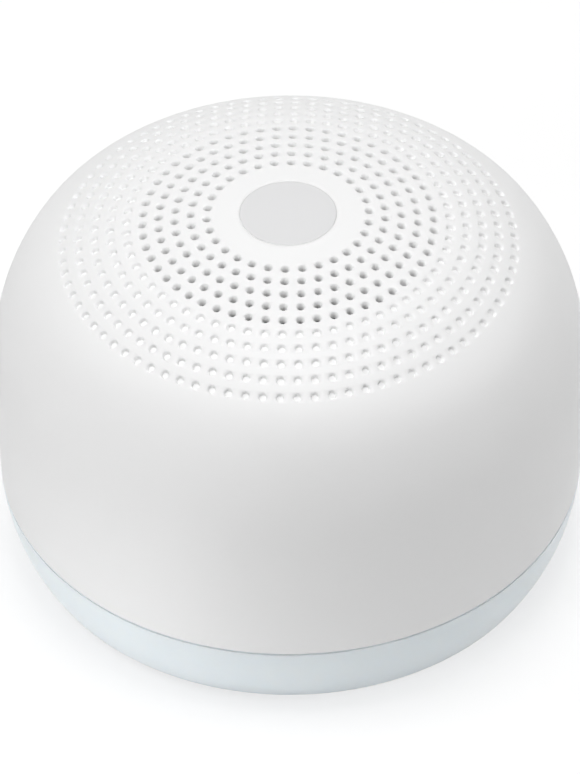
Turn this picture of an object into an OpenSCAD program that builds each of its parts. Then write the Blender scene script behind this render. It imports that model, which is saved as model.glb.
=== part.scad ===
// Bedside sound machine: a domed housing with a speaker grille, standing on a glowing
// light ring, with its controls on a small panel at the back.
// Millimetres. +Z is up, +Y is the back, and the origin is on the table under the centre.

/* [Body] */
// Outside diameter of the body at its widest
body_d = 80; // [79:0.5:84]
// Height of the top of the straight wall above the table
wall_top = 29.9; // [29:0.1:33]
// Wall thickness of the housing
wall_t = 2.2; // [1.8:0.1:2.4]
// Radius of the curve where the straight wall turns inwards
side_r = 26.4; // [25:0.1:28]
// Slope at the upper end of the side curve, in degrees
side_slope = 58.7; // [57:0.1:61]
// Radius of the tight shoulder curve
shoulder_r = 13.9; // [13:0.1:15]
// Slope at the upper end of the shoulder, in degrees
shoulder_slope = 29.1; // [28:0.1:30]
// Radius of the brow between the shoulder and the crown
brow_r = 38.5; // [37:0.5:40]
// Slope where the flat crown begins, in degrees
crown_slope = 10.7; // [10.2:0.1:11.2]

/* [Grille] */
// Diameter of one hole in the grille
hole_d = 0.95; // [0.8:0.05:1.1]
// Radius of the innermost ring of holes
first_ring_r = 10.8; // [10:0.1:11.2]
// Distance between two rings of holes
ring_pitch = 2.155; // [2:0.005:2.17]
// Number of rings of holes
ring_count = 10; // [6:1:10]
// Number of inner rings whose holes go right through to the speaker
open_ring_count = 5; // [3:1:5]
// Holes in the innermost ring
first_ring_holes = 30; // [24:6:36]
// Holes that each further ring adds
holes_added = 6; // [4:1:6]
// Thickness of the housing over the open holes
grille_t = 1.2; // [1:0.1:1.6]
// Depth of the blind holes in the outer rings
blind_depth = 0.7; // [0.4:0.1:0.8]
// Diameter of the round badge on the crown
badge_d = 12.9; // [12:0.1:15]
// Thickness of the badge
badge_t = 0.6; // [0.4:0.1:0.8]

/* [Light ring] */
// Height of the visible band of the light ring
ring_h = 10.6; // [10:0.1:11]
// Radius of the curve of the band's outer face
ring_curve_r = 24; // [22:0.5:27]
// Height of that curve's centre above the band's lower edge
ring_curve_h = 11.7; // [11.2:0.1:12]
// Wall thickness of the light ring
ring_t = 2; // [1.8:0.1:2.2]
// Width of the shadow line between the housing and the light ring
seam_gap = 0.25; // [0.2:0.05:0.4]
// Number of white lamps behind the light ring
lamp_count = 12; // [6:6:12]

/* [Base] */
// Height that the rubber foot lifts the body off the table
foot_stand = 0.8; // [0.6:0.1:1.2]
// Thickness of the base plate
base_t = 2; // [1.8:0.1:2.4]
// Outside diameter of the rubber foot
foot_d = 55; // [50:0.5:55]
// Width of the rubber foot's ring
foot_w = 6.5; // [5:0.5:7]
// Thickness of the rubber foot
foot_t = 1.6; // [1.5:0.1:1.7]
// Distance of the case screws from the side of the body
case_screw_inset = 9.6; // [9.5:0.1:10]
// Shank diameter of the case screws
case_screw_d = 2.4; // [2:0.1:2.6]
// Shank length of the case screws
case_screw_l = 16; // [14:1:20]

/* [Controls] */
// Height of the centre line of the controls above the table
control_z = 20.5; // [20.3:0.1:21]
// Width of the control panel
panel_w = 54; // [53:0.5:55]
// Height of the control panel
panel_h = 12; // [11:0.5:12.5]
// Corner radius of the control panel
panel_corner = 4; // [3:0.5:5]
// Thickness of the control panel
panel_t = 2.7; // [2.5:0.1:2.9]
// Depth of the panel's face below the housing's surface
panel_recess = 0.7; // [0.5:0.1:1]
// Diameter of a push button
button_d = 5.6; // [5:0.1:5.8]
// Travel of a push button
button_travel = 0.5; // [0.3:0.05:0.6]
// Height of a button above the panel's face
button_proud = 0.6; // [0.5:0.1:0.7]
// Angle between two buttons around the body, in degrees
button_step = 11.5; // [11.4:0.1:11.8]
// Diameter of the volume wheel
wheel_d = 11; // [10:0.5:11.5]
// Thickness of the volume wheel
wheel_t = 2.8; // [2.2:0.1:2.8]
// Distance that the volume wheel stands out of the panel's face
wheel_proud = 1.6; // [1.2:0.1:1.8]
// Angle of the volume wheel from the middle of the back, in degrees
wheel_angle = 33; // [32.8:0.1:33.5]
// Angle of the charging socket from the middle of the back, in degrees
socket_angle = 33.5; // [33.2:0.1:34]
// Angle of the status lens from the middle of the back, in degrees
lens_angle = 23.8; // [23.6:0.1:24]
// Diameter of the status lens
lens_d = 1.6; // [1.4:0.1:1.7]

/* [Speaker] */
// Diameter of the speaker's flange
speaker_d = 45.2; // [45:0.1:46]
// Diameter of the opening inside the speaker seat
seat_bore_d = 40.6; // [40.4:0.1:41]
// Height of the speaker seat under the dome, at its outer edge
seat_h = 1.6; // [1.4:0.1:2]
// Thickness of the speaker's foam gasket
gasket_t = 1; // [0.6:0.1:1.2]
// Diameter of the speaker's ring magnet
magnet_d = 32; // [28:0.5:34]
// Height of the speaker's ring magnet
magnet_h = 6; // [5:0.1:6.2]
// Diameter of the voice coil
coil_d = 14; // [13.8:0.1:14.2]
// Travel of the cone each way from rest
cone_travel = 0.8; // [0.4:0.1:0.8]

/* [Inside] */
// Height of the top face of the main board above the table
board_top = 17.3; // [17:0.1:17.4]
// Thickness of the main board
board_t = 1.6; // [1.2:0.1:1.6]
// Gap between the main board and the housing's wall
board_gap = 4.6; // [4.2:0.1:4.8]
// Gap between the battery cell and the pillars at its sides
battery_gap = 1.5; // [1.5:0.1:3]
// Length of the battery cell, from front to back
battery_l = 30; // [24:0.5:31]
// Height of the battery cell
battery_h = 6.5; // [5:0.5:8]
// Diameter of a lead's insulation
lead_d = 1.1; // [0.8:0.1:1.3]

/* [Hidden] */

// Facets of a true circle when it is drawn as a mesh
fine = 96;
// Gap between a loose piece and its seat
seat_gap = 0.2;
// Gap all round a piece that slides or turns in its hole
running_gap = 0.08;
// Play between pieces that move past each other without a fit
free_gap = 0.4;
// Overlap that makes two joined forms one solid
merge = 0.5;

// --- Outer form ---------------------------------------------------------------------------

body_r = body_d / 2;
// Four arcs, tangent to each other, from the crown down to the straight wall
side_c = [body_r - side_r, wall_top];
shoulder_c = side_c + (side_r - shoulder_r) * [sin(side_slope), cos(side_slope)];
brow_c = shoulder_c + (shoulder_r - brow_r) * [sin(shoulder_slope), cos(shoulder_slope)];
crown_r = brow_r + brow_c[0] / sin(crown_slope);
crown_c = brow_c + (brow_r - crown_r) * [sin(crown_slope), cos(crown_slope)];
// Each arc is its centre, its radius and the slope at its lower end
skin_arcs = [
  [crown_c, crown_r, crown_slope],
  [brow_c, brow_r, shoulder_slope],
  [shoulder_c, shoulder_r, side_slope],
  [side_c, side_r, 90]
];

// The point of the skin with slope a, at depth t inside the outer face
function skin_point(a, t = 0, i = 0) =
  i == len(skin_arcs) - 1 || a <= skin_arcs[i][2]
    ? skin_arcs[i][0] + (skin_arcs[i][1] - t) * [sin(a), cos(a)]
    : skin_point(a, t, i + 1);

// The slope of the skin at radius r, measured on the face at depth t
function skin_slope(r, t = 0, i = 0) =
  i == len(skin_arcs) - 1 || r <= skin_arcs[i][0][0] + (skin_arcs[i][1] - t) * sin(skin_arcs[i][2])
    ? asin((r - skin_arcs[i][0][0]) / (skin_arcs[i][1] - t))
    : skin_slope(r, t, i + 1);

// The height of the skin at radius r, on the face at depth t
function skin_z(r, t = 0) = skin_point(skin_slope(r, t), t)[1];

function ring_r(k) = first_ring_r + k * ring_pitch;
function ring_holes(k) = first_ring_holes + k * holes_added;

// Slopes of the skin's bands: each ring of holes has a band of its own
crown_bands = [0, skin_slope(badge_d / 4), skin_slope(badge_d / 2)];
ring_bands = [for (k = [0 : ring_count]) skin_slope(ring_r(k - 0.5))];
shoulder_steps = 18;
shoulder_bands = [
  for (k = [1 : shoulder_steps])
    ring_bands[ring_count] + (90 - ring_bands[ring_count]) * k / shoulder_steps
];
skin_bands = concat(crown_bands, ring_bands, shoulder_bands);

// Angle of the column of holes that all the rings share, from the front
hole_column = -2.5;

ring_z = foot_stand;
seam_z = ring_z + ring_h;
rim_z = seam_z + seam_gap;
inner_r = body_r - wall_t;
case_screw_r = body_r - case_screw_inset;
board_r = inner_r - board_gap;

// --- Base and light ring ------------------------------------------------------------------

base_z = ring_z;
base_top = base_z + base_t;
ring_curve_c = [body_r - ring_curve_r, ring_z + ring_curve_h];
ring_inner_r = ring_curve_r - ring_t;
// Radius of the light ring's inner face at height z
function ring_face_r(z) = ring_curve_c[0] + sqrt(pow(ring_inner_r, 2) - pow(z - ring_curve_c[1], 2));
base_r = ring_face_r(base_z) - 0.3;
foot_r = foot_d / 2;

case_screw_angles = [70, 135, -135, -70];
post_d = 7.4;
post_top = 13;
counterbore_d = 5;
screw_head_d = 4.6;
screw_head_h = 1.8;
screw_seat_z = 5;
case_boss_d = 6.5;
case_boss_z = post_top + 0.3;
case_boss_top = case_boss_z + 17;
case_boss_rib = 1.6;
pilot_gap = 0.1;

ledge_t = 1.4;
ledge_w = 2.1;
ledge_r = base_r - ledge_w;
// Spigot of the light ring inside the housing
lip_t = 1.3;
lip_h = 1.7;
lip_root_h = 2;
lip_r = inner_r - 0.3;

light_board_t = 1.2;
light_board_r = case_screw_r + 1.1;
light_board_w = 5.2;
light_board_z = base_top + 2.2;
light_board_top = light_board_z + light_board_t;
light_board_in_r = light_board_r - light_board_w;
board_rib_t = 1.2;
lamp_size = [2, 1.4, 1.2];
reflector_t = 0.8;
reflector_top = seam_z + 0.6;
reflector_in_r = light_board_in_r + 0.3;
reflector_r = lip_r - lip_t - 0.3;
light_tab = [7, 4.5];
light_lead_y = light_board_in_r - 2.8;

// --- Control panel ------------------------------------------------------------------------

panel_face_r = body_r - panel_recess;
panel_back_r = panel_face_r - panel_t;
panel_lip = 1.2;
panel_lip_r = inner_r - seat_gap;
// The window is cut from this distance behind the centre
window_y = 20;

button_angles = [for (i = [-1.5 : 1 : 1.5]) i * button_step];
button_flange_d = button_d + 1;
button_flange_t = 1;
button_flange_r = panel_back_r - 0.6;
button_top_r = panel_face_r + button_proud;
button_chamfer = 0.35;
button_dish_rim = 0.12;
button_dish = 0.16;
stem_d = 2.4;
stem_l = 0.9;
plunger_d = 1.8;
plunger_r = button_flange_r - button_flange_t - stem_l - 0.1;
plunger_l = 1.3;
plunger_bottom_gap = 0.2;
switch_size = [4.6, 3, 5];
switch_r = plunger_r - 0.8;

wheel_r = wheel_d / 2;
wheel_c = panel_face_r + wheel_proud - wheel_r;
wheel_grooves = 28;
wheel_groove_d = 0.7;
shaft_d = 3;
sensor_size = [8, 6, 1.5];
sensor_hub_r = 2.4;
sensor_z = board_top;

socket_w = 8.94;
socket_h = 3.26;
socket_l = 7.3;
socket_corner = 1.4;
socket_wall = 0.3;
socket_face_r = panel_face_r - 0.7;
socket_back_r = socket_face_r - socket_l;
tongue_size = [6.7, 4.45, 0.7];
riser_l = 4.7;
lens_l = panel_t - 0.05;

// --- Speaker ------------------------------------------------------------------------------

seat_r = seat_bore_d / 2;
seat_out_r = speaker_d / 2 - 0.3;
seat_z = skin_z(seat_out_r, wall_t) - seat_h;
flange_z = seat_z - gasket_t;
flange_t = 1.2;
speaker_screw_out = 3.4;
flange_w = 3.3;
flange_r = speaker_d / 2;
speaker_screw_r = flange_r + speaker_screw_out;
speaker_screw_d = 2;
speaker_screw_l = 3.2;
speaker_screw_head = [3.8, 1.2];
speaker_boss_d = 5;
speaker_pilot_h = 2.1;
speaker_ear_angles = [45, 135, 225, 315];
ear_d = 5;
// The cloth lies in a pocket under the open holes, where the housing is thinner
pocket_r = seat_r;
cloth_r = pocket_r - seat_gap;
cloth_t = 0.4;

basket_wall = 1.2;
basket_depth = 12.9;
basket_foot_r = 14.8;
basket_window = [8, 14, 6.2];
plate_t = 2;
plate_r = 14;
pole_gap = 0.35;
coil_r = coil_d / 2;
former_t = 0.2;
winding_t = 0.25;
// The winding and its former reach past the magnet's gap by more than the travel
winding_below = cone_travel + 0.7;
winding_above = cone_travel + 2.2;
former_below = winding_below + 1.5;
former_above_foot = 0.6;
pole_r = coil_r - pole_gap;
plate_bore_r = coil_r + former_t + winding_t + pole_gap;
basket_bore_r = plate_bore_r + 0.4;
basket_z = flange_z - basket_depth;
spider_rise = 3.5;
spider_rest_z = basket_z + spider_rise;
spider_t = 0.4;
spider_drop = 1;
spider_wave = 0.35;
spider_rim = 1.6;
magnet_top = basket_z - plate_t;
magnet_z = magnet_top - magnet_h;
yoke_z = magnet_z - plate_t;
flange_bore_r = flange_r - flange_w;
// The half-round roll of the surround
roll_r = 1.5;
roll_t = 0.3;
roll_c = [flange_bore_r - 1.6, flange_z - 0.5];
cone_t = 0.4;
cone_foot_rise = 4.3;
// Flat rim of the cone that the surround is glued to
cone_rim = 1;
cone_edge_r = roll_c[0] - roll_r;
cone_edge_z = roll_c[1] - roll_t - cone_t;
cone_foot_z = basket_z + cone_foot_rise;
former_top = cone_foot_z + former_above_foot;
cap_r = coil_r + 0.8;
cap_h = 2.6;
cap_t = 0.3;
cone_pitch = (cone_edge_z - cone_foot_z) / (cone_edge_r - cone_rim - coil_r - former_t);
cap_foot_z = cone_foot_z + cone_t + cone_pitch * (cap_r - coil_r - former_t) + 0.1;
terminal_r = flange_r - 0.4;
terminal_t = 1.2;
terminal_z = flange_z - flange_t - 3;

// --- Inside -------------------------------------------------------------------------------

board_z = board_top - board_t;
board_front = -14;
pillar_d = 5;
pillar_side = board_r - 10.2;
pillar_back = board_r - 11.2;
pillar_y = -2;
pillar_places = [[0, pillar_back], [-pillar_side, pillar_y], [pillar_side, pillar_y]];
board_screw_d = 1.6;
board_screw_head = [4, 1];
board_screw_l = 6;
pad_t = 0.6;
battery_z = base_top + pad_t;
battery_w = 2 * (pillar_side - pillar_d / 2 - battery_gap);
battery_corner = 2.5;
pad_l = 6;
// Thickness and length of the two stops beside the battery
battery_stop = [1.2, 12];
connector_size = [6, 4.5, 4];
connector_y = -10.5;
connector_x = 9;
// Each chip is its place on the board and its size
chips = [
  [[-8, 8], [7, 7, 1]],
  [[8, 6], [5, 5, 1]],
  [[8, 14], [5, 6, 1.6]],
  [[-15, 13], [5, 5, 3]],
  [[16, 14], [3, 3, 0.9]]
];
capacitor_d = 5;
capacitor_h = 5.4;
capacitor_places = [[-15, -7], [15, -7]];
// Where the leads enter their connectors
lead_in_z = board_top + connector_size[2] / 2;
lead_in_y = connector_y - connector_size[1] / 2;
// How far the leads run straight, bow out and rise on their way
lead_straight = 1.5;
lead_bow = 2.8;
lead_rise = 5;
lead_fall = 8;

// --- Shared forms -------------------------------------------------------------------------

// Turns its children from the back of the body by angle a: their +Y points outwards
module at_back(a) {
  rotate([0, 0, -a]) children();
}

// A round bar that points outwards from radius r, at the controls' height
module bar_out(d, r, l) {
  translate([0, r, control_z]) rotate([-90, 0, 0]) cylinder(d = d, h = l, $fn = 48);
}

// A ring between two radii and two heights
module band(r_in, r_out, z0, z1) {
  rotate_extrude($fn = fine) translate([r_in, z0]) square([r_out - r_in, z1 - z0]);
}

// Repeats its children at each case screw
module at_case_screws() {
  for (a = case_screw_angles) at_back(a) translate([0, case_screw_r, 0]) children();
}

// Repeats its children at each speaker screw
module at_speaker_screws() {
  for (a = speaker_ear_angles) rotate([0, 0, a]) translate([speaker_screw_r, 0, 0]) children();
}

// Repeats its children at each pillar of the main board
module at_pillars() {
  for (p = pillar_places) translate([p[0], p[1], 0]) children();
}

// Corner points of a rectangle with round corners
function rounded(w, h, r, n = 6) = [
  for (c = [[1, 1, 0], [-1, 1, 90], [-1, -1, 180], [1, -1, 270]])
    for (i = [0 : n])
      [c[0] * (w / 2 - r), c[1] * (h / 2 - r)] + r * [cos(c[2] + 90 * i / n), sin(c[2] + 90 * i / n)]
];

// The panel's outline as a block through the back wall, larger all round by grow
module panel_block(grow) {
  translate([0, window_y, control_z])
    rotate([-90, 0, 0])
      linear_extrude(body_r + 5 - window_y)
        polygon(rounded(panel_w + 2 * grow, panel_h + 2 * grow, panel_corner + grow));
}

// Cuts the corners off a path twice over, which leaves a smooth bend
function eased(p, n = 2) = n == 0 ? p : eased(concat(
  [p[0]],
  [for (i = [0 : len(p) - 2]) for (f = [0.25, 0.75]) p[i] * (1 - f) + p[i + 1] * f],
  [p[len(p) - 1]]
), n - 1);

// A lead along a path that stays in one upright plane from front to back
module lead(path) {
  p = eased(path);
  n = len(p);
  sides = 8;
  points = [
    for (i = [0 : n - 1])
      let (run = p[min(i + 1, n - 1)] - p[max(i - 1, 0)], across = cross(run, [1, 0, 0]) / norm(run))
        for (k = [0 : sides - 1])
          p[i] + lead_d / 2 * (cos(360 * k / sides) * [1, 0, 0] + sin(360 * k / sides) * across)
  ];
  walls = [
    for (i = [0 : n - 2]) for (k = [0 : sides - 1])
      let (a = i * sides + k, b = i * sides + (k + 1) % sides)
        [a, a + sides, b + sides, b]
  ];
  first = [for (k = [0 : sides - 1]) k];
  last = [for (k = [sides - 1 : -1 : 0]) (n - 1) * sides + k];
  polyhedron(points = points, faces = concat([first, last], walls));
}

// --- Housing ------------------------------------------------------------------------------

// One hole of the grille, drilled square to the skin
module grille_hole(k, j) {
  a = skin_slope(ring_r(k));
  p = skin_point(a);
  depth = k < open_ring_count ? grille_t + 1 : blind_depth;
  rotate([0, 0, hole_column - 90 + 360 * j / ring_holes(k)])
    translate([p[0], 0, p[1]])
      rotate([0, a, 0])
        translate([0, 0, -depth])
          cylinder(d = hole_d, h = depth + 0.5, $fn = 24);
}

module housing_shell() {
  outer = [for (a = skin_bands) skin_point(a)];
  full = [
    for (i = [len(skin_bands) - 1 : -1 : 0])
      if (skin_point(skin_bands[i], wall_t)[0] > pocket_r + 0.1) skin_point(skin_bands[i], wall_t)
  ];
  step = [[pocket_r, skin_z(pocket_r, wall_t)], [pocket_r, skin_z(pocket_r, grille_t)]];
  thin = [
    for (i = [len(skin_bands) - 1 : -1 : 0])
      if (skin_point(skin_bands[i], grille_t)[0] < pocket_r - 0.1) skin_point(skin_bands[i], grille_t)
  ];
  rotate_extrude($fn = fine)
    polygon(concat(outer, [[body_r, rim_z], [inner_r, rim_z]], full, step, thin));
}

// Boss for a case screw, with a rib to the wall
module case_boss() {
  translate([0, 0, case_boss_z]) cylinder(d = case_boss_d, h = case_boss_top - case_boss_z, $fn = 48);
  translate([-case_boss_rib / 2, 0, case_boss_z])
    cube([case_boss_rib, inner_r + merge - case_screw_r, case_boss_top - case_boss_z]);
}

module speaker_seat() {
  rotate_extrude($fn = fine)
    polygon([
      [seat_r, seat_z],
      [seat_out_r, seat_z],
      [seat_out_r, skin_z(seat_out_r, wall_t) + merge],
      [seat_r, skin_z(seat_r, wall_t) + merge]
    ]);
}

module speaker_boss() {
  top = skin_z(speaker_screw_r + speaker_boss_d / 2) - 0.2;
  translate([0, 0, flange_z]) cylinder(d = speaker_boss_d, h = top - flange_z, $fn = 48);
}

module top_housing() color("white") difference() {
  union() {
    housing_shell();
    speaker_seat();
    at_speaker_screws() speaker_boss();
    at_case_screws() case_boss();
  }
  for (k = [0 : ring_count - 1]) for (j = [0 : ring_holes(k) - 1]) grille_hole(k, j);
  panel_block(0);
  translate([0, 0, skin_z(badge_d / 2) - badge_t]) cylinder(d = badge_d + seat_gap, h = 5, $fn = fine);
  at_case_screws()
    translate([0, 0, case_boss_z - 1])
      cylinder(d = case_screw_d + pilot_gap, h = case_screw_l - post_top + screw_seat_z + 2, $fn = 48);
  at_speaker_screws()
    translate([0, 0, flange_z - 1])
      cylinder(d = speaker_screw_d + pilot_gap, h = speaker_pilot_h + 1, $fn = 48);
}

module centre_badge() color("gainsboro")
  rotate_extrude($fn = fine)
    polygon(concat(
      [[0, skin_z(badge_d / 2) - badge_t], [badge_d / 2, skin_z(badge_d / 2) - badge_t]],
      [for (i = [len(crown_bands) - 1 : -1 : 0]) skin_point(crown_bands[i])]
    ));

module acoustic_cloth() color("dimgray") {
  steps = 8;
  upper = [for (i = [0 : steps]) let (r = cloth_r * i / steps) [r, skin_z(r, grille_t) - 0.1]];
  lower = [for (i = [steps : -1 : 0]) upper[i] - [0, cloth_t]];
  rotate_extrude($fn = fine) polygon(concat(upper, lower));
}

// --- Light ring and base ------------------------------------------------------------------

module light_ring() color("lavender") difference() {
  union() {
    rotate_extrude($fn = fine) intersection() {
      difference() {
        translate(ring_curve_c) circle(ring_curve_r, $fn = 360);
        translate(ring_curve_c) circle(ring_inner_r, $fn = 360);
      }
      translate([ledge_r, ring_z]) square([body_r, ring_h]);
    }
    band(ledge_r, ring_face_r(base_top) + merge, base_top, base_top + ledge_t);
    band(lip_r - lip_t, ring_face_r(seam_z) + merge, seam_z - lip_root_h, seam_z);
    band(lip_r - lip_t, lip_r, seam_z - 0.1, seam_z + lip_h);
  }
  at_case_screws() translate([0, 0, ring_z]) cylinder(d = post_d + 0.6, h = ring_h / 2, $fn = 48);
}

module light_reflector() color("whitesmoke") difference() {
  union() {
    band(reflector_in_r, reflector_in_r + reflector_t, light_board_top, reflector_top);
    band(reflector_in_r, reflector_r, reflector_top - reflector_t, reflector_top);
  }
  at_case_screws() cylinder(d = post_d + 0.6, h = reflector_top + 1, $fn = 48);
}

module light_board() color("seagreen") difference() {
  union() {
    band(light_board_in_r, light_board_r, light_board_z, light_board_top);
    translate([-connector_x - light_tab[0] / 2, -light_board_in_r - merge, light_board_z])
      cube([light_tab[0], light_tab[1], light_board_t]);
  }
  at_case_screws() cylinder(d = post_d + 0.6, h = light_board_top + 1, $fn = 48);
}

module lamps() color("lightyellow")
  for (i = [0 : lamp_count - 1])
    at_back(360 * i / lamp_count)
      translate([-lamp_size[0] / 2, light_board_r - lamp_size[1] - 0.4, light_board_top])
        cube(lamp_size);

module base_cover() color("gainsboro") difference() {
  union() {
    cylinder_between(base_r, base_z, base_top);
    at_case_screws() translate([0, 0, base_z]) cylinder(d = post_d, h = post_top - base_z, $fn = 48);
    at_pillars() translate([0, 0, base_z]) cylinder(d = pillar_d, h = board_z - base_z, $fn = 48);
    band(light_board_in_r + 1.3, light_board_in_r + 1.3 + board_rib_t, base_top - merge, light_board_z);
    for (s = [-1, 1])
      translate([s * (battery_w + battery_stop[0] + 2 * seat_gap) / 2, 0, base_top - merge])
        translate([-battery_stop[0] / 2, -battery_stop[1] / 2, 0])
          cube([battery_stop[0], battery_stop[1], merge + pad_t + battery_h * 0.7]);
  }
  band(foot_r - foot_w - seat_gap, foot_r + seat_gap, base_z - 1, base_z + foot_t - foot_stand);
  at_case_screws() {
    translate([0, 0, base_z - 1]) cylinder(d = counterbore_d, h = screw_seat_z - base_z + 1, $fn = 48);
    translate([0, 0, base_z]) cylinder(d = case_screw_d + 0.4, h = post_top, $fn = 48);
  }
  at_pillars()
    translate([0, 0, board_z - board_screw_l])
      cylinder(d = board_screw_d + pilot_gap, h = board_screw_l + 1, $fn = 48);
}

module cylinder_between(r, z0, z1) {
  translate([0, 0, z0]) cylinder(r = r, h = z1 - z0, $fn = fine);
}

module foot_ring() color("darkgray") band(foot_r - foot_w, foot_r, 0, foot_t);

// A pan-head screw that points upwards, with its head's seat at height z
module screw_up(d, l, head_d, head_h, z) {
  translate([0, 0, z - head_h]) difference() {
    cylinder(d = head_d, h = head_h, $fn = 48);
    for (a = [0, 90]) rotate([0, 0, a]) cube([head_d * 0.6, 0.5, head_h], center = true);
  }
  translate([0, 0, z - 0.1]) cylinder(d = d, h = l + 0.1, $fn = 48);
}

module case_screws() color("silver")
  at_case_screws() screw_up(case_screw_d, case_screw_l, screw_head_d, screw_head_h, screw_seat_z);

// --- Control panel and what passes through it ---------------------------------------------

module control_panel() color("silver") difference() {
  union() {
    intersection() {
      panel_block(-seat_gap);
      band(panel_back_r, panel_face_r, 0, 2 * control_z);
    }
    intersection() {
      panel_block(panel_lip);
      band(panel_back_r, panel_lip_r, 0, 2 * control_z);
    }
  }
  for (a = button_angles) at_back(a) bar_out(button_d + 2 * running_gap, window_y, body_r - window_y + 1);
  at_back(-wheel_angle)
    translate([0, wheel_c, control_z])
      cylinder(r = wheel_r + free_gap, h = wheel_t + 2 * free_gap, center = true, $fn = fine);
  at_back(-wheel_angle)
    translate([0, wheel_c, sensor_z - free_gap])
      cylinder(r = sensor_hub_r + free_gap, h = control_z - sensor_z + free_gap, $fn = 48);
  at_back(socket_angle) socket_block(0.3, window_y, body_r - window_y + 1);
  at_back(lens_angle) bar_out(lens_d + seat_gap, window_y, body_r - window_y + 1);
}

// The outline of the charging socket as a block from radius r outwards
module socket_block(grow, r, l) {
  translate([0, r, control_z])
    rotate([-90, 0, 0])
      linear_extrude(l)
        polygon(rounded(socket_w + 2 * grow, socket_h + 2 * grow, socket_corner + grow));
}

module push_button(a) at_back(a) {
  l = button_top_r - button_flange_r;
  translate([0, button_flange_r, control_z])
    rotate([-90, 0, 0])
      rotate_extrude($fn = 48)
        polygon([
          [0, -button_flange_t - stem_l],
          [stem_d / 2, -button_flange_t - stem_l],
          [stem_d / 2, -button_flange_t],
          [button_flange_d / 2, -button_flange_t],
          [button_flange_d / 2, 0],
          [button_d / 2, 0],
          [button_d / 2, l - button_chamfer],
          [button_d / 2 - button_chamfer, l],
          [button_d / 4, l - button_dish_rim],
          [0, l - button_dish]
        ]);
}

// The moving pin of the switch behind a button
module plunger(a) at_back(a) bar_out(plunger_d, plunger_r - plunger_l, plunger_l);

module power_button() color("gray") push_button(button_angles[0]);
module sound_button() color("gray") push_button(button_angles[1]);
module timer_button() color("gray") push_button(button_angles[2]);
module night_light_button() color("gray") push_button(button_angles[3]);

module power_plunger() color("black") plunger(button_angles[0]);
module sound_plunger() color("black") plunger(button_angles[1]);
module timer_plunger() color("black") plunger(button_angles[2]);
module night_light_plunger() color("black") plunger(button_angles[3]);

module push_switches() color("dimgray")
  for (a = button_angles) at_back(a) difference() {
    translate([-switch_size[0] / 2, switch_r - switch_size[1], board_top]) cube(switch_size);
    bar_out(
      plunger_d + 2 * running_gap,
      plunger_r - plunger_l - button_travel - plunger_bottom_gap,
      2 * plunger_l
    );
  }

// Places its children on the axis of the volume wheel
module at_wheel() {
  at_back(-wheel_angle) translate([0, wheel_c, 0]) children();
}

module volume_wheel() color("gray") at_wheel() difference() {
  translate([0, 0, control_z]) cylinder(r = wheel_r, h = wheel_t, center = true, $fn = fine);
  for (i = [0 : wheel_grooves - 1])
    rotate([0, 0, 360 * i / wheel_grooves])
      translate([wheel_r + 0.05, 0, control_z])
        cylinder(d = wheel_groove_d, h = wheel_t + 1, center = true, $fn = 8);
  translate([0, 0, control_z]) cylinder(d = shaft_d + 0.1, h = wheel_t + 1, center = true, $fn = 48);
}

module volume_shaft() color("silver")
  at_wheel()
    translate([0, 0, sensor_z + 0.3])
      cylinder(d = shaft_d, h = control_z + wheel_t / 2 - sensor_z - 0.3, $fn = 48);

// The turning sensor behind the wheel: a flat box with a round hub
module volume_sensor() color("saddlebrown") at_wheel() difference() {
  union() {
    translate([-sensor_size[0] / 2, -sensor_size[1], sensor_z]) cube(sensor_size);
    translate([0, 0, sensor_z]) cylinder(r = sensor_hub_r, h = sensor_size[2], $fn = 48);
  }
  translate([0, 0, sensor_z - 1]) cylinder(d = shaft_d + 2 * running_gap, h = sensor_size[2] + 2, $fn = 48);
}

module charging_socket() color("silver") at_back(socket_angle) difference() {
  socket_block(0, socket_back_r, socket_l);
  socket_block(-socket_wall, socket_back_r + 1, socket_l);
}

module socket_tongue() color("black")
  at_back(socket_angle)
    translate([-tongue_size[0] / 2, socket_back_r + 1, control_z - tongue_size[2] / 2])
      cube(tongue_size);

module socket_riser() color("black")
  at_back(socket_angle)
    translate([-socket_w / 2 + socket_corner, socket_back_r, board_top])
      cube([socket_w - 2 * socket_corner, riser_l, control_z - socket_h / 2 - board_top]);

module status_lens() color("honeydew") at_back(lens_angle) bar_out(lens_d, panel_back_r + 0.1, lens_l);

module status_lamp() color("palegreen") at_back(lens_angle) {
  r = board_r - 1.4;
  bar_out(1.2, r, 2.6);
  translate([-0.4, r, board_top]) cube([0.8, 0.8, control_z - board_top]);
}

// --- Boards, battery and leads ------------------------------------------------------------

module main_board() color("darkgreen") translate([0, 0, board_z]) difference() {
  intersection() {
    cylinder(r = board_r, h = board_t, $fn = fine);
    translate([-body_r, board_front, 0]) cube([body_d, body_d, board_t]);
  }
  at_case_screws() translate([0, 0, -1]) cylinder(d = case_boss_d + 1, h = board_t + 2, $fn = 48);
  at_pillars() translate([0, 0, -1]) cylinder(d = board_screw_d + 0.4, h = board_t + 2, $fn = 48);
}

// A flat part on the main board, centred on p
module chip(p, size) {
  translate([p[0] - size[0] / 2, p[1] - size[1] / 2, board_top]) cube(size);
}

module board_chips() color("black")
  for (c = chips) chip(c[0], c[1]);

module board_capacitors() color("silver")
  for (p = capacitor_places)
    translate([p[0], p[1], board_top]) cylinder(d = capacitor_d, h = capacitor_h, $fn = 48);

module lead_connectors() color("ivory")
  for (x = [-connector_x, 0, connector_x]) chip([x, connector_y], connector_size);

module board_screws() color("silver")
  at_pillars() {
    translate([0, 0, board_top]) cylinder(d = board_screw_head[0], h = board_screw_head[1], $fn = 48);
    translate([0, 0, board_z - board_screw_l + 0.5])
      cylinder(d = board_screw_d, h = board_t + board_screw_l - 0.5 + 0.1, $fn = 48);
  }

module battery_cell() color("steelblue")
  translate([0, 0, battery_z])
    linear_extrude(battery_h) polygon(rounded(battery_w, battery_l, battery_corner));

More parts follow.
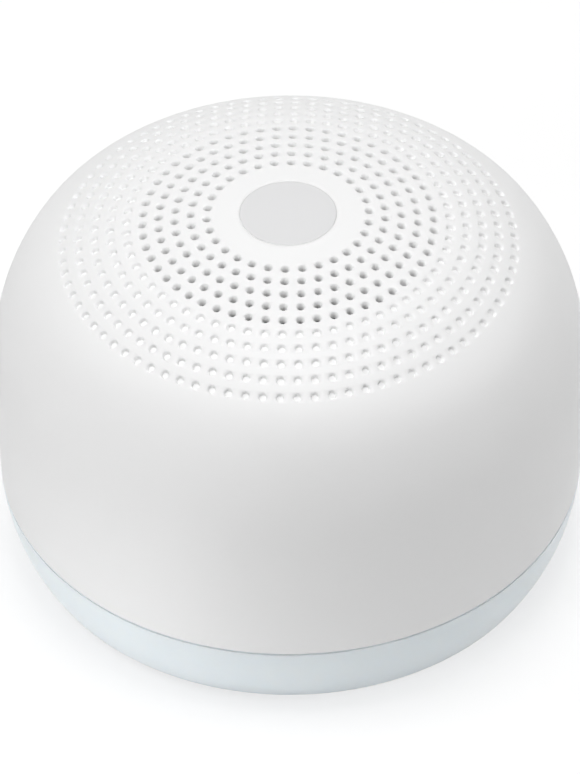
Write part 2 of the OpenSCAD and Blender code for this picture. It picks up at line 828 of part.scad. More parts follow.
module battery_pads() color("gray")
  for (y = [-1, 1])
    translate([-battery_w * 0.4, y * battery_l / 4 - pad_l / 2, base_top])
      cube([battery_w * 0.8, pad_l, pad_t]);

module speaker_leads() color("crimson")
  for (x = [-1.2, 1.2])
    lead([
      [x, -terminal_r - lead_straight, terminal_z - lead_straight / 2],
      [x, -terminal_r - lead_bow, terminal_z - lead_bow],
      [x, -terminal_r - lead_bow, lead_in_z + lead_fall],
      [x, -terminal_r + lead_straight, lead_in_z],
      [x, lead_in_y, lead_in_z]
    ]);

module battery_leads() color("firebrick")
  for (x = [-0.8, 0.8])
    lead([
      [connector_x + x, -battery_l / 2, battery_z + battery_h / 2],
      [connector_x + x, -battery_l / 2 - lead_rise, battery_z + battery_h / 2],
      [connector_x + x, -battery_l / 2 - lead_rise, lead_in_z],
      [connector_x + x, lead_in_y, lead_in_z]
    ]);

module light_leads() color("goldenrod")
  for (x = [-0.8, 0.8])
    lead([
      [-connector_x + x, -light_lead_y, light_board_top],
      [-connector_x + x, -light_lead_y, light_board_top + lead_rise],
      [-connector_x + x, -light_lead_y + lead_bow, lead_in_z],
      [-connector_x + x, lead_in_y, lead_in_z]
    ]);

// --- Speaker ------------------------------------------------------------------------------

module speaker_gasket() color("black") band(seat_r, seat_out_r, flange_z, seat_z);

module speaker_basket() color("darkslategray") difference() {
  union() {
    rotate_extrude($fn = fine)
      polygon([
        [basket_bore_r, basket_z],
        [basket_foot_r, basket_z],
        [flange_bore_r + basket_wall + 0.4, flange_z - flange_t],
        [flange_r, flange_z - flange_t],
        [flange_r, flange_z],
        [flange_bore_r, flange_z],
        [flange_bore_r, flange_z - flange_t],
        [basket_foot_r + 0.5, spider_rest_z],
        [basket_foot_r - 1.4, spider_rest_z],
        [basket_foot_r - 1.4, basket_z + 1],
        [basket_bore_r, basket_z + 1]
      ]);
    for (a = speaker_ear_angles) rotate([0, 0, a]) {
      translate([speaker_screw_r, 0, flange_z - flange_t]) cylinder(d = ear_d, h = flange_t, $fn = 48);
      translate([flange_r - 1, -ear_d / 2, flange_z - flange_t])
        cube([speaker_screw_r - flange_r + 1, ear_d, flange_t]);
    }
  }
  at_speaker_screws()
    translate([0, 0, flange_z - flange_t - 1])
      cylinder(d = speaker_screw_d + 0.4, h = flange_t + 2, $fn = 48);
  for (a = [0 : 90 : 270]) rotate([0, 0, a])
    translate([basket_foot_r - 1, -basket_window[1] / 2, spider_rest_z + 0.8])
      cube(basket_window);
}

// Points of an arc around c, from angle a0 to a1
function arc(c, r, a0, a1, n = 10) = [
  for (i = [0 : n])
    let (a = a0 + (a1 - a0) * i / n)
      c + r * [cos(a), sin(a)]
];

module speaker_surround() color("black") {
  in_r = roll_r - roll_t;
  rise = flange_z - roll_c[1];
  rotate_extrude($fn = fine)
    polygon(concat(
      [[cone_edge_r - cone_rim, roll_c[1] - roll_t]],
      arc(roll_c, in_r, 180 + asin(roll_t / in_r), asin(rise / in_r)),
      [[flange_bore_r + 0.9, flange_z], [flange_bore_r + 0.9, flange_z + roll_t]],
      arc(roll_c, roll_r, asin((rise + roll_t) / roll_r), 180),
      [[cone_edge_r - cone_rim, roll_c[1]]]
    ));
}

module speaker_cone() color("darkgray")
  rotate_extrude($fn = fine)
    polygon([
      [coil_r + former_t, cone_foot_z],
      [cone_edge_r - cone_rim, cone_edge_z],
      [cone_edge_r, cone_edge_z],
      [cone_edge_r, cone_edge_z + cone_t],
      [cone_edge_r - cone_rim - 0.2, cone_edge_z + cone_t],
      [coil_r + former_t, cone_foot_z + cone_t]
    ]);

module speaker_dust_cap() color("darkgray") {
  ball_r = (cap_r * cap_r + cap_h * cap_h) / (2 * cap_h);
  foot_a = asin(cap_r / ball_r);
  c = [0, cap_foot_z + cap_h - ball_r];
  rotate_extrude($fn = fine)
    polygon(concat(arc(c, ball_r, 90 - foot_a, 90), arc(c, ball_r - cap_t, 90, 90 - foot_a)));
}

// The springy disc that centres the coil, with two waves in it
module speaker_spider() color("goldenrod") {
  r0 = coil_r + former_t + 0.1;
  r1 = basket_foot_r;
  steps = 16;
  upper = [
    for (i = [0 : steps])
      let (f = i / steps)
        [
          r0 + (r1 - spider_rim - r0) * f,
          spider_rest_z + spider_t - spider_drop * (1 - f) + spider_wave * sin(720 * f)
        ]
  ];
  outer = [[r1, spider_rest_z + spider_t], [r1, spider_rest_z]];
  lower = [for (i = [steps : -1 : 0]) upper[i] - [0, spider_t]];
  rotate_extrude($fn = fine) polygon(concat(upper, outer, lower));
}

module coil_former() color("peru")
  band(coil_r, coil_r + former_t - 0.02, magnet_top - former_below, former_top);

module voice_coil() color("chocolate")
  band(
    coil_r + former_t, coil_r + former_t + winding_t,
    magnet_top - winding_below, magnet_top + winding_above
  );

module speaker_top_plate() color("silver") band(plate_bore_r, plate_r, magnet_top, basket_z);

module speaker_magnet() color("darkslategray") band(plate_bore_r + 1.6, magnet_d / 2, magnet_z, magnet_top);

module speaker_yoke() color("silver") {
  cylinder_between(plate_r, yoke_z, magnet_z);
  cylinder_between(pole_r, magnet_z - merge, basket_z);
}

module speaker_terminals() color("peru") rotate([0, 0, -90]) {
  translate([terminal_r - terminal_t, -3.5, terminal_z - 2]) cube([terminal_t, 7, 5]);
  for (y = [-1.2, 1.2])
    translate([terminal_r - 0.1, y - 0.6, terminal_z - 0.2]) cube([1.5, 1.2, 0.4]);
}

module speaker_screws() color("silver")
  at_speaker_screws()
    screw_up(
      speaker_screw_d, speaker_screw_l,
      speaker_screw_head[0], speaker_screw_head[1],
      flange_z - flange_t
    );

top_housing();
centre_badge();
acoustic_cloth();
light_ring();
light_reflector();
light_board();
lamps();
base_cover();
foot_ring();
case_screws();
control_panel();
power_button();
sound_button();
timer_button();
night_light_button();
power_plunger();
sound_plunger();
timer_plunger();
night_light_plunger();
push_switches();
volume_wheel();
volume_shaft();
volume_sensor();
charging_socket();
socket_tongue();
socket_riser();
status_lens();
status_lamp();
main_board();
board_chips();
board_capacitors();
lead_connectors();
board_screws();
battery_cell();
battery_pads();
speaker_gasket();
speaker_basket();
speaker_surround();
speaker_cone();
speaker_dust_cap();
speaker_spider();
coil_former();
voice_coil();
speaker_top_plate();
speaker_magnet();
speaker_yoke();
speaker_terminals();
speaker_screws();
speaker_leads();
battery_leads();
light_leads();
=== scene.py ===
# Bedside sound machine: a domed white housing with a pierced speaker grille, on a frosted light ring.
# Metres. +Z is up, +Y is the back, and the origin is on the table under the centre.
import math

import bmesh
import bpy
from mathutils import Matrix, Vector


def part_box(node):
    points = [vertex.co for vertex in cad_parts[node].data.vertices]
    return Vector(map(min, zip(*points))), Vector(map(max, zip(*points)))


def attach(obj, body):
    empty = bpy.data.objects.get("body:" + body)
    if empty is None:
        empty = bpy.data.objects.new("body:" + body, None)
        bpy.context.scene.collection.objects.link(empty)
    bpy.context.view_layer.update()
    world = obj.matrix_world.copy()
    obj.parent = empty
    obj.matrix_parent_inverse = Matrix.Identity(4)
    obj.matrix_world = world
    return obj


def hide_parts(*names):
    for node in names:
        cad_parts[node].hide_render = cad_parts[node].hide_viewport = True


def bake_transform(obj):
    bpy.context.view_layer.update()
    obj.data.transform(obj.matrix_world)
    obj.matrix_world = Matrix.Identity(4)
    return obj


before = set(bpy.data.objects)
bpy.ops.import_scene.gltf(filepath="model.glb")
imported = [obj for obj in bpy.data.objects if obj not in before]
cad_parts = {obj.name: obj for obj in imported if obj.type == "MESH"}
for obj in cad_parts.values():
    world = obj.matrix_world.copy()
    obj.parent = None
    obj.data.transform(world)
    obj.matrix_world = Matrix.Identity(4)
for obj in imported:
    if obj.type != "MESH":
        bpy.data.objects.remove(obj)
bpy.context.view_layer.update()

# --- Housing ---
# The housing is one moulding in white ABS with a fine satin texture. Its crown is pierced by ten
# rings of small holes: the inner five rings go through, the outer five are shallow dimples.
# Four arcs make its outline, and a rounded window at the back takes the control panel.

BODY_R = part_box("top_housing")[1].x
RIM_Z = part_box("top_housing")[0].z
WALL_TOP = 0.0299
WALL_T = 0.0022
GRILLE_T = 0.0012
SIDE_R = 0.0264
SIDE_SLOPE = math.radians(58.7)
SHOULDER_R = 0.0139
SHOULDER_SLOPE = math.radians(29.1)
BROW_R = 0.0385
CROWN_SLOPE = math.radians(10.7)

MOUTH_R = 0.00067
HOLE_SIDES = 12
FIRST_RING_R = 0.0108
RING_PITCH = 0.002155
RING_COUNT = 10
OPEN_RINGS = 5
FIRST_RING_HOLES = 30
HOLES_ADDED = 6
# How holes and dimples go on below their soft mouth: radius and depth
OPEN_HOLE = [(0.00061, 0.00004), (0.00047, 0.00036), (0.00045, GRILLE_T)]
DIMPLE = [(0.00058, 0.00007), (0.00049, 0.00030), (0.00043, 0.00048)]
HOLE_COLUMN = math.radians(-2.5)
COLLAR_H = 0.00164

BADGE_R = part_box("centre_badge")[1].x
BADGE_SEAT_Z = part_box("centre_badge")[0].z
BADGE_GAP = 0.00002
BADGE_CHAMFER = 0.00004
CLOTH_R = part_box("acoustic_cloth")[1].x


def along(centre, radius, slope):
    """The point of an arc whose surface has that slope."""
    return Vector((centre.x + radius * math.sin(slope), centre.y + radius * math.cos(slope)))


def arc_points(centre, radius, first, last, steps):
    """Points of an arc from one angle to another, both measured from the horizontal."""
    angles = [first + (last - first) * i / steps for i in range(steps + 1)]
    return [centre + radius * Vector((math.cos(a), math.sin(a))) for a in angles]


# Each arc is tangent to the next; the first two numbers of a point are its radius and its height
side_c = Vector((BODY_R - SIDE_R, WALL_TOP))
shoulder_c = along(side_c, SIDE_R - SHOULDER_R, SIDE_SLOPE)
brow_c = along(shoulder_c, SHOULDER_R - BROW_R, SHOULDER_SLOPE)
crown_r = BROW_R + brow_c.x / math.sin(CROWN_SLOPE)
crown_c = along(brow_c, BROW_R - crown_r, CROWN_SLOPE)
skin_arcs = [
    (crown_c, crown_r, CROWN_SLOPE),
    (brow_c, BROW_R, SHOULDER_SLOPE),
    (shoulder_c, SHOULDER_R, SIDE_SLOPE),
    (side_c, SIDE_R, math.pi / 2),
]


def skin_at_slope(slope, depth=0.0):
    for centre, radius, end in skin_arcs:
        if slope <= end + 1e-9:
            return along(centre, radius - depth, slope)
    return along(side_c, SIDE_R - depth, math.pi / 2)


def skin_slope(r, depth=0.0):
    """The slope of the skin at radius r, on the face that lies that deep."""
    for centre, radius, end in skin_arcs:
        if r <= centre.x + (radius - depth) * math.sin(end):
            return math.asin((r - centre.x) / (radius - depth))
    return math.pi / 2


def skin(r, depth=0.0):
    """The point at radius r of the face that lies that deep."""
    return skin_at_slope(skin_slope(r, depth), depth)


def ring_r(k):
    return FIRST_RING_R + k * RING_PITCH


def ring_holes(k):
    return FIRST_RING_HOLES + k * HOLES_ADDED


def deselect():
    if bpy.context.object and bpy.context.object.mode == "EDIT":
        bpy.ops.object.mode_set(mode="OBJECT")
    bpy.ops.object.select_all(action="DESELECT")


def activate(piece):
    """Selects one piece alone."""
    deselect()
    piece.select_set(True)
    bpy.context.view_layer.objects.active = piece


def added(kind, name, **how):
    """Adds a plain mesh of that kind."""
    deselect()
    getattr(bpy.ops.mesh, f"primitive_{kind}_add")(**how)
    bpy.context.object.name = name
    return bpy.context.object


def in_edit(piece):
    """Opens a piece for editing with all of it selected."""
    activate(piece)
    bpy.ops.object.mode_set(mode="EDIT")
    bpy.ops.mesh.select_mode(type="EDGE")
    bpy.ops.mesh.select_all(action="SELECT")


def joined(name, pieces):
    """Joins pieces into the first of them."""
    activate(pieces[0])
    for piece in pieces:
        piece.select_set(True)
    bpy.ops.object.join()
    bpy.context.object.name = name
    return bpy.context.object


def pick(piece, wanted):
    """Selects the wanted edges of the piece in edit mode."""
    mesh = bmesh.from_edit_mesh(piece.data)
    bpy.ops.mesh.select_all(action="DESELECT")
    for edge in mesh.edges:
        if wanted(edge):
            edge.select_set(True)
    bmesh.update_edit_mesh(piece.data)


def pick_edges(piece, *tests):
    """Selects the edges whose two ends both pass one of the tests."""
    pick(piece, lambda edge: any(all(test(v.co) for v in edge.verts) for test in tests))


def pull_loop(scale=1.0, drop=0.0):
    """Extrudes the selected loop, drawn in or out about the middle and moved down."""
    bpy.ops.mesh.extrude_region_move(TRANSFORM_OT_translate={"value": (0, 0, -drop)})
    bpy.ops.transform.resize(value=(scale, scale, 1), center_override=(0, 0, 0))


def hole_collar(k):
    """One hole of ring k with its share of the skin round it, first modelled flat."""
    open_hole = k < OPEN_RINGS
    collar = added("circle", f"hole_ring_{k}", vertices=HOLE_SIDES, radius=MOUTH_R)
    in_edit(collar)
    bpy.ops.transform.rotate(value=math.radians(15), orient_axis="Z", center_override=(0, 0, 0))
    r, depth = MOUTH_R, 0
    for next_r, next_depth in OPEN_HOLE if open_hole else DIMPLE:
        pull_loop(next_r / r, next_depth - depth)
        r, depth = next_r, next_depth
    if open_hole:
        pull_loop(2, 0)
    else:
        bpy.ops.mesh.edge_face_add()
    pick_edges(collar, lambda co: co.z > -1e-7)
    pull_loop(2, 0)
    # The outer loops are squared off to the share of skin that the hole owns
    half = Vector((math.pi * ring_r(k) / ring_holes(k), COLLAR_H / 2))
    mesh = bmesh.from_edit_mesh(collar.data)
    for v in mesh.verts:
        if v.co.xy.length > 1.2 * MOUTH_R:
            v.co.xy = v.co.xy / max(abs(v.co.x), abs(v.co.y))
            v.co.x *= half.x
            v.co.y *= half.y
    # The flat collar is laid on the curved skin, at the front of the ring
    slope_k = skin_slope(ring_r(k))
    for v in mesh.verts:
        r = ring_r(k) + v.co.y * math.cos(slope_k)
        turn = v.co.x / ring_r(k)
        slope = skin_slope(r)
        point = skin_at_slope(slope) + v.co.z * Vector((math.sin(slope), math.cos(slope)))
        angle = HOLE_COLUMN - math.pi / 2 + turn
        v.co = (point.x * math.cos(angle), point.x * math.sin(angle), point.y)
    bmesh.update_edit_mesh(collar.data)
    bpy.ops.mesh.select_all(action="SELECT")
    holes = ring_holes(k)
    around = 2 * math.pi * (holes - 1) / holes
    bpy.ops.mesh.spin(steps=holes - 1, dupli=True, angle=around, center=(0, 0, 0), axis=(0, 0, 1))
    bpy.ops.object.mode_set(mode="OBJECT")
    return collar


housing = joined("housing", [hole_collar(k) for k in range(RING_COUNT)])
in_edit(housing)
bpy.ops.mesh.remove_doubles(threshold=2e-6)


def collar_edge(k, side, depth):
    """Radius and height of a ring's collars at their inner (-1) or outer (1) edge."""
    r = ring_r(k) + side * COLLAR_H / 2 * math.cos(skin_slope(ring_r(k)))
    slope = skin_slope(r)
    return skin_at_slope(slope) - depth * Vector((math.sin(slope), math.cos(slope)))


def near(point):
    return lambda co: abs(co.xy.length - point.x) < 1e-5 and abs(co.z - point.y) < 1e-5


# Strips of skin join each ring of collars to the next, outside and, at the open holes, inside
for k in range(RING_COUNT - 1):
    for depth in [0, GRILLE_T] if k < OPEN_RINGS - 1 else [0]:
        pick_edges(housing, near(collar_edge(k, 1, depth)), near(collar_edge(k + 1, -1, depth)))
        bpy.ops.mesh.bridge_edge_loops()


def draw_skin(piece, start, path):
    """Extrudes the loop at start through the points of path, each a radius and a height."""
    pick_edges(piece, near(start))
    here = start
    for point in path:
        pull_loop(point.x / here.x, here.y - point.y)
        here = point


# Outside, the skin runs over the shoulder and down the wall to the rounded rim
SKIN_STEPS = 22
RIM_ROUND = 0.00016
WALL_LOOPS = [0.024, 0.018]
start = collar_edge(RING_COUNT - 1, 1, 0)
first = skin_slope(start.x)
turn = (math.pi / 2 - first) / SKIN_STEPS
outside = [skin_at_slope(first + turn * i) for i in range(1, SKIN_STEPS + 1)]
outside += [Vector((BODY_R, z)) for z in (*WALL_LOOPS, RIM_Z + RIM_ROUND)]
outside += [Vector((BODY_R - 0.3 * RIM_ROUND, RIM_Z + 0.3 * RIM_ROUND))]
outside += [Vector((BODY_R - RIM_ROUND, RIM_Z))]
# Inside, it comes back up the wall and over to the step of the grille's thinner pocket
pocket_r = CLOTH_R + 0.0002
last = skin_slope(pocket_r, WALL_T)
turn = (last - math.pi / 2) / SKIN_STEPS
inside = [Vector((BODY_R - WALL_T, z)) for z in (RIM_Z, *reversed(WALL_LOOPS), WALL_TOP)]
inside += [skin_at_slope(math.pi / 2 + turn * i, WALL_T) for i in range(1, SKIN_STEPS + 1)]
inside += [skin(pocket_r, GRILLE_T)]
draw_skin(housing, start, outside + inside)
pick_edges(housing, near(inside[-1]), near(collar_edge(OPEN_RINGS - 1, 1, GRILLE_T)))
bpy.ops.mesh.bridge_edge_loops()

# The middle of the crown has the round seat of the badge, and is closed inside
CROWN_LOOPS = [0.0092, 0.0080, 0.0070]
CEILING_LOOPS = [0.008, 0.004, 0.001]
seat_r = BADGE_R + BADGE_GAP
seat_top = skin(seat_r + BADGE_CHAMFER)
middle = [skin(r) for r in CROWN_LOOPS]
middle += [seat_top, Vector((seat_r, seat_top.y - BADGE_CHAMFER)), Vector((seat_r, BADGE_SEAT_Z))]
draw_skin(housing, collar_edge(0, -1, 0), middle)
bpy.ops.mesh.edge_face_add()
ceiling = [skin(r, GRILLE_T) for r in CEILING_LOOPS]
draw_skin(housing, collar_edge(0, -1, GRILLE_T), ceiling)
bpy.ops.mesh.edge_face_add()
bpy.ops.mesh.select_all(action="SELECT")
bpy.ops.mesh.normals_make_consistent(inside=False)
bpy.ops.object.mode_set(mode="OBJECT")

# The window of the control panel is cut straight through the back wall
PANEL_Z = 0.0205
PANEL_W = 0.054
PANEL_H = 0.012
PANEL_CORNER = 0.004
WINDOW_Y = 0.020
WINDOW_DEPTH = 0.030


def slab(name, low, high):
    """A plain block between two corners."""
    low, high = Vector(low), Vector(high)
    block = added("cube", name, size=1, location=(low + high) / 2)
    block.scale = high - low
    bpy.ops.object.transform_apply(location=True, rotation=True, scale=True)
    return block


def round_along(block, axis, radius, segments):
    """Rounds the edges of a block that run along that axis."""
    in_edit(block)
    pick(block, lambda e: abs((e.verts[0].co - e.verts[1].co).normalized()[axis]) > 0.99)
    bpy.ops.mesh.bevel(offset=radius, segments=segments, affect="EDGES")
    bpy.ops.object.mode_set(mode="OBJECT")
    return block


def window_block(name, grow, depth):
    """A block with round corners that points backwards through the panel's place."""
    half = Vector((PANEL_W / 2 + grow, 0, PANEL_H / 2 + grow))
    middle = Vector((0, WINDOW_Y, PANEL_Z))
    block = slab(name, middle - half, middle + half + Vector((0, depth, 0)))
    return round_along(block, 1, PANEL_CORNER + grow, 10)


def cut_away(piece, tool, operation="DIFFERENCE"):
    """Applies a boolean with the tool and throws the tool away."""
    activate(piece)
    cut = piece.modifiers.new("cut", "BOOLEAN")
    cut.operation = operation
    cut.object = tool
    cut.solver = "EXACT"
    bpy.ops.object.modifier_apply(modifier=cut.name)
    bpy.data.objects.remove(tool)


cut_away(housing, window_block("window", 0, WINDOW_DEPTH))


def soften(piece, angle=50):
    activate(piece)
    bpy.ops.object.shade_smooth_by_angle(angle=math.radians(angle))


# Inside are the seat of the speaker, the bosses for its screws and the bosses for the case screws
SEAT_IN = 0.0203
SEAT_OUT = 0.0223
SEAT_Z = 0.0481994
SPEAKER_SCREW_AT = 0.026
SPEAKER_SCREW_ANGLES = [45, 135, 225, 315]
SPEAKER_BOSS_R = 0.0025
SPEAKER_BOSS_Z = 0.0471994
UNDER_SKIN = 0.0002
SPEAKER_PILOT_R = 0.00105
SPEAKER_PILOT_H = 0.0021
CASE_SCREW_AT = 0.0304
CASE_SCREW_ANGLES = [70, 135, -135, -70]
CASE_BOSS_R = 0.00325
CASE_BOSS_Z = 0.0133
CASE_BOSS_TOP = 0.0303
CASE_PILOT_R = 0.00125
CASE_PILOT_H = 0.009
RIB_T = 0.0016
MERGE = 0.0005


def from_back(angle, r, z=0.0):
    """The point at radius r that lies that many degrees round from the back, towards +X."""
    turn = math.radians(angle)
    return Vector((r * math.sin(turn), r * math.cos(turn), z))


def turned(name, profile, sides=96, ring=False):
    """A round piece about the Z axis, pulled loop by loop along a profile of radii and heights.
    Flat faces close its two ends, or the ends meet where it is a ring."""
    here = profile[0]
    piece = added("circle", name, vertices=sides, radius=here[0])
    in_edit(piece)
    bpy.ops.transform.translate(value=(0, 0, here[1]))
    for point in profile[1:] + profile[:1] * ring:
        pull_loop(point[0] / here[0], here[1] - point[1])
        here = point
    bpy.ops.mesh.select_all(action="SELECT")
    bpy.ops.mesh.remove_doubles(threshold=1e-6)
    bpy.ops.mesh.select_all(action="SELECT")
    if not ring:
        bpy.ops.mesh.fill_holes(sides=0)
    bpy.ops.mesh.normals_make_consistent(inside=False)
    bpy.ops.object.mode_set(mode="OBJECT")
    soften(piece)
    return piece


def settle(piece, place=(0, 0, 0), turn=(0, 0, 0)):
    """Puts a piece in its place and leaves the move in its mesh."""
    activate(piece)
    piece.rotation_euler = turn
    piece.location = place
    bpy.ops.object.transform_apply(location=True, rotation=True, scale=True)
    return piece


def round_bar(name, radius, length, sides=64):
    """An upright round bar that stands on the origin."""
    bar = added("cylinder", name, vertices=sides, radius=radius, depth=length)
    return settle(bar, (0, 0, length / 2))


def hollow_boss(low, pilot_r, pilot_h, radius, top):
    """A screw boss that hangs from the shell, with the pilot hole of its screw."""
    pilot = [(pilot_r, low + pilot_h), (pilot_r, low)]
    return turned("boss", pilot + [(radius, low), (radius, top)], 32)


seat_profile = [(SEAT_IN, SEAT_Z), (SEAT_OUT, SEAT_Z)]
seat_profile += [(r, skin(r, WALL_T).y + MERGE) for r in (SEAT_OUT, SEAT_IN)]
inside_parts = [turned("seat", seat_profile, 144, ring=True)]
boss_top = skin(SPEAKER_SCREW_AT + SPEAKER_BOSS_R).y - UNDER_SKIN
for angle in SPEAKER_SCREW_ANGLES:
    boss = hollow_boss(SPEAKER_BOSS_Z, SPEAKER_PILOT_R, SPEAKER_PILOT_H, SPEAKER_BOSS_R, boss_top)
    inside_parts.append(settle(boss, from_back(angle, SPEAKER_SCREW_AT)))
for angle in CASE_SCREW_ANGLES:
    boss = hollow_boss(CASE_BOSS_Z, CASE_PILOT_R, CASE_PILOT_H, CASE_BOSS_R, CASE_BOSS_TOP)
    rib_end = Vector((RIB_T / 2, BODY_R - WALL_T + MERGE - CASE_SCREW_AT, CASE_BOSS_TOP))
    rib = slab("rib", (-RIB_T / 2, CASE_BOSS_R - MERGE, CASE_BOSS_Z), rib_end)
    post = joined("post", [boss, rib])
    inside_parts.append(settle(post, from_back(angle, CASE_SCREW_AT), (0, 0, -math.radians(angle))))
housing = joined("housing", [housing, *inside_parts])
soften(housing)


def add_node(tree, kind, values=(), **settings):
    """Adds a shader node with its settings and the constants on its own sockets."""
    node = tree.nodes.new("ShaderNode" + kind)
    for key, value in settings.items():
        setattr(node, key, value)
    for socket, value in dict(values).items():
        node.inputs[socket].default_value = value
    return node


def wire(tree, *runs):
    """Links sockets. Each run names a node, its output, another node and its input."""
    for one, output, other, entry in runs:
        tree.links.new(one.outputs[output], other.inputs[entry])


def shader_group(name, inputs, outputs):
    """An empty shader group with those sockets, each a name and a kind, and its two ends."""
    group = bpy.data.node_groups.new(name, "ShaderNodeTree")
    for way, sockets in (("INPUT", inputs), ("OUTPUT", outputs)):
        for socket, kind in sockets:
            group.interface.new_socket(name=socket, in_out=way, socket_type="NodeSocket" + kind)
    return group, group.nodes.new("NodeGroupInput"), group.nodes.new("NodeGroupOutput")


def surface_group():
    """Shader group for moulded and painted surfaces: slight mottling, uneven gloss, fine grain."""
    group, given, result = shader_group(
        "moulded_surface",
        [("Colour", "Color"), ("Mottle", "Float"), ("Roughness", "Float"), ("Uneven", "Float"),
         ("Grain", "Float")],
        [("Colour", "Color"), ("Roughness", "Float"), ("Height", "Float")],
    )
    place = add_node(group, "TexCoord")
    cloud = add_node(group, "TexNoise", {"Scale": 45, "Detail": 3})
    grain = add_node(group, "TexNoise", {"Detail": 2})
    # A factor of one on average, above and below it by the mottling
    swing = add_node(group, "MapRange", {"To Min": -1, "To Max": 1})
    shade = add_node(group, "Math", {2: 1}, operation="MULTIPLY_ADD")
    tint = add_node(group, "VectorMath", operation="SCALE")
    gloss = add_node(group, "Math", operation="MULTIPLY_ADD")
    wire(
        group,
        (place, "Object", cloud, "Vector"), (place, "Object", grain, "Vector"),
        (given, "Grain", grain, "Scale"), (cloud, "Fac", swing, "Value"),
        (swing, "Result", shade, 0), (given, "Mottle", shade, 1),
        (given, "Colour", tint, 0), (shade, "Value", tint, "Scale"),
        (swing, "Result", gloss, 0), (given, "Uneven", gloss, 1), (given, "Roughness", gloss, 2),
        (tint, "Vector", result, "Colour"), (gloss, "Value", result, "Roughness"),
        (grain, "Fac", result, "Height"),
    )
    return group


moulded_surface = surface_group()


def grouped_material(name, group, values, bump_values):
    """A material whose colour and bump come from a shader group with those values."""
    made = bpy.data.materials.new(name)
    made.use_nodes = True
    tree = made.node_tree
    shader = tree.nodes["Principled BSDF"]
    surface = add_node(tree, "Group", values, node_tree=group)
    bump = add_node(tree, "Bump", bump_values)
    wire(tree, (surface, "Colour", shader, "Base Color"), (surface, "Height", bump, "Height"))
    wire(tree, (bump, "Normal", shader, "Normal"))
    return made, shader, surface


def moulded(name, colour, roughness, grain=5000, depth=0.00002, mottle=0.01, uneven=0.04, specular=0.5):
    """A material for moulded plastic, rubber or paint, with its own colour, gloss and grain."""
    values = {"Colour": (*colour, 1), "Mottle": mottle, "Roughness": roughness, "Uneven": uneven,
              "Grain": grain}
    made, shader, surface = grouped_material(
        name, moulded_surface, values, {"Strength": 0.5, "Distance": depth}
    )
    shader.inputs["Specular IOR Level"].default_value = specular
    wire(made.node_tree, (surface, "Roughness", shader, "Roughness"))
    return made


def paint_piece(piece, material):
    piece.data.materials.clear()
    piece.data.materials.append(material)


def finish_piece(piece, material, body, node):
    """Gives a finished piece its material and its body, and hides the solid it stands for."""
    paint_piece(piece, material)
    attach(piece, body)
    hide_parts(node)


white_satin = moulded("white_satin", (0.93, 0.93, 0.93), 0.5, grain=4500, depth=0.000012, mottle=0.004)
finish_piece(housing, white_satin, "root", "top_housing")

# --- Badge ---
# A plain round badge of pale grey plastic, pressed flush into its seat in the middle of the crown.

BADGE_EDGE = 0.00002
BADGE_LOOP = 0.0002
FACE_LOOPS = [0.005, 0.0025, 0]

badge_profile = [(BADGE_R, BADGE_SEAT_Z), (BADGE_R, seat_top.y - BADGE_EDGE)]
badge_profile += [skin(BADGE_R - inset) for inset in (BADGE_EDGE, BADGE_LOOP)]
badge_profile += [skin(r) for r in FACE_LOOPS]
badge = turned("badge", badge_profile)
badge_plastic = moulded(
    "badge_plastic", (0.765, 0.765, 0.77), 0.42, grain=9000, depth=0.000006, mottle=0.003
)
finish_piece(badge, badge_plastic, "root", "centre_badge")

# --- Acoustic cloth ---
# A disc of dark woven cloth, cut to size and glued into the pocket under the open holes. It keeps
# dust out and lets the sound through.

CLOTH_T = 0.0004
CLOTH_GAP = 0.0001
CLOTH_MIDDLE = 0.001
CLOTH_STEPS = 12
THREADS = 2600

cloth_top = []
for step in range(CLOTH_STEPS + 1):
    r = CLOTH_MIDDLE + (CLOTH_R - CLOTH_MIDDLE) * step / CLOTH_STEPS
    cloth_top.append(Vector((r, skin(r, GRILLE_T).y - CLOTH_GAP)))
cloth_under = [point - Vector((0, CLOTH_T)) for point in cloth_top]
cloth = turned("cloth_disc", cloth_under + cloth_top[::-1])


def weave_group():
    """Shader group for woven cloth: two sets of threads that pass over and under each other."""
    group, given, result = shader_group(
        "woven_surface",
        [("Thread", "Color"), ("Gap", "Color"), ("Scale", "Float")],
        [("Colour", "Color"), ("Height", "Float")],
    )
    place = add_node(group, "TexCoord")
    over = add_node(group, "Math", operation="MAXIMUM")
    for entry, way in enumerate(("X", "Y")):
        wave = add_node(group, "TexWave", {"Distortion": 0.6, "Detail": 1}, bands_direction=way)
        wire(group, (place, "Object", wave, "Vector"), (given, "Scale", wave, "Scale"))
        wire(group, (wave, "Fac", over, entry))
    blend = add_node(group, "Mix", data_type="RGBA")
    wire(
        group,
        (over, "Value", blend, "Factor"), (given, "Gap", blend, "A"), (given, "Thread", blend, "B"),
        (blend, "Result", result, "Colour"), (over, "Value", result, "Height"),
    )
    return group


woven_surface = weave_group()


def woven(name, thread, gap, scale, depth):
    """A material for cloth, with the colours of its threads and of the gaps between them."""
    values = {"Thread": (*thread, 1), "Gap": (*gap, 1), "Scale": scale}
    made, shader, _ = grouped_material(name, woven_surface, values, {"Distance": depth})
    shader.inputs["Roughness"].default_value = 0.85
    shader.inputs["Sheen Weight"].default_value = 0.15
    return made


dark_cloth = woven("dark_cloth", (0.03, 0.03, 0.033), (0.008, 0.008, 0.01), THREADS, 0.00008)
finish_piece(cloth, dark_cloth, "root", "acoustic_cloth")

# --- Light ring ---
# The light ring is moulded in frosted, slightly blue diffuser plastic. Its wall curves in towards
# the foot, a ledge lies on the base plate, and a spigot fits up inside the housing.

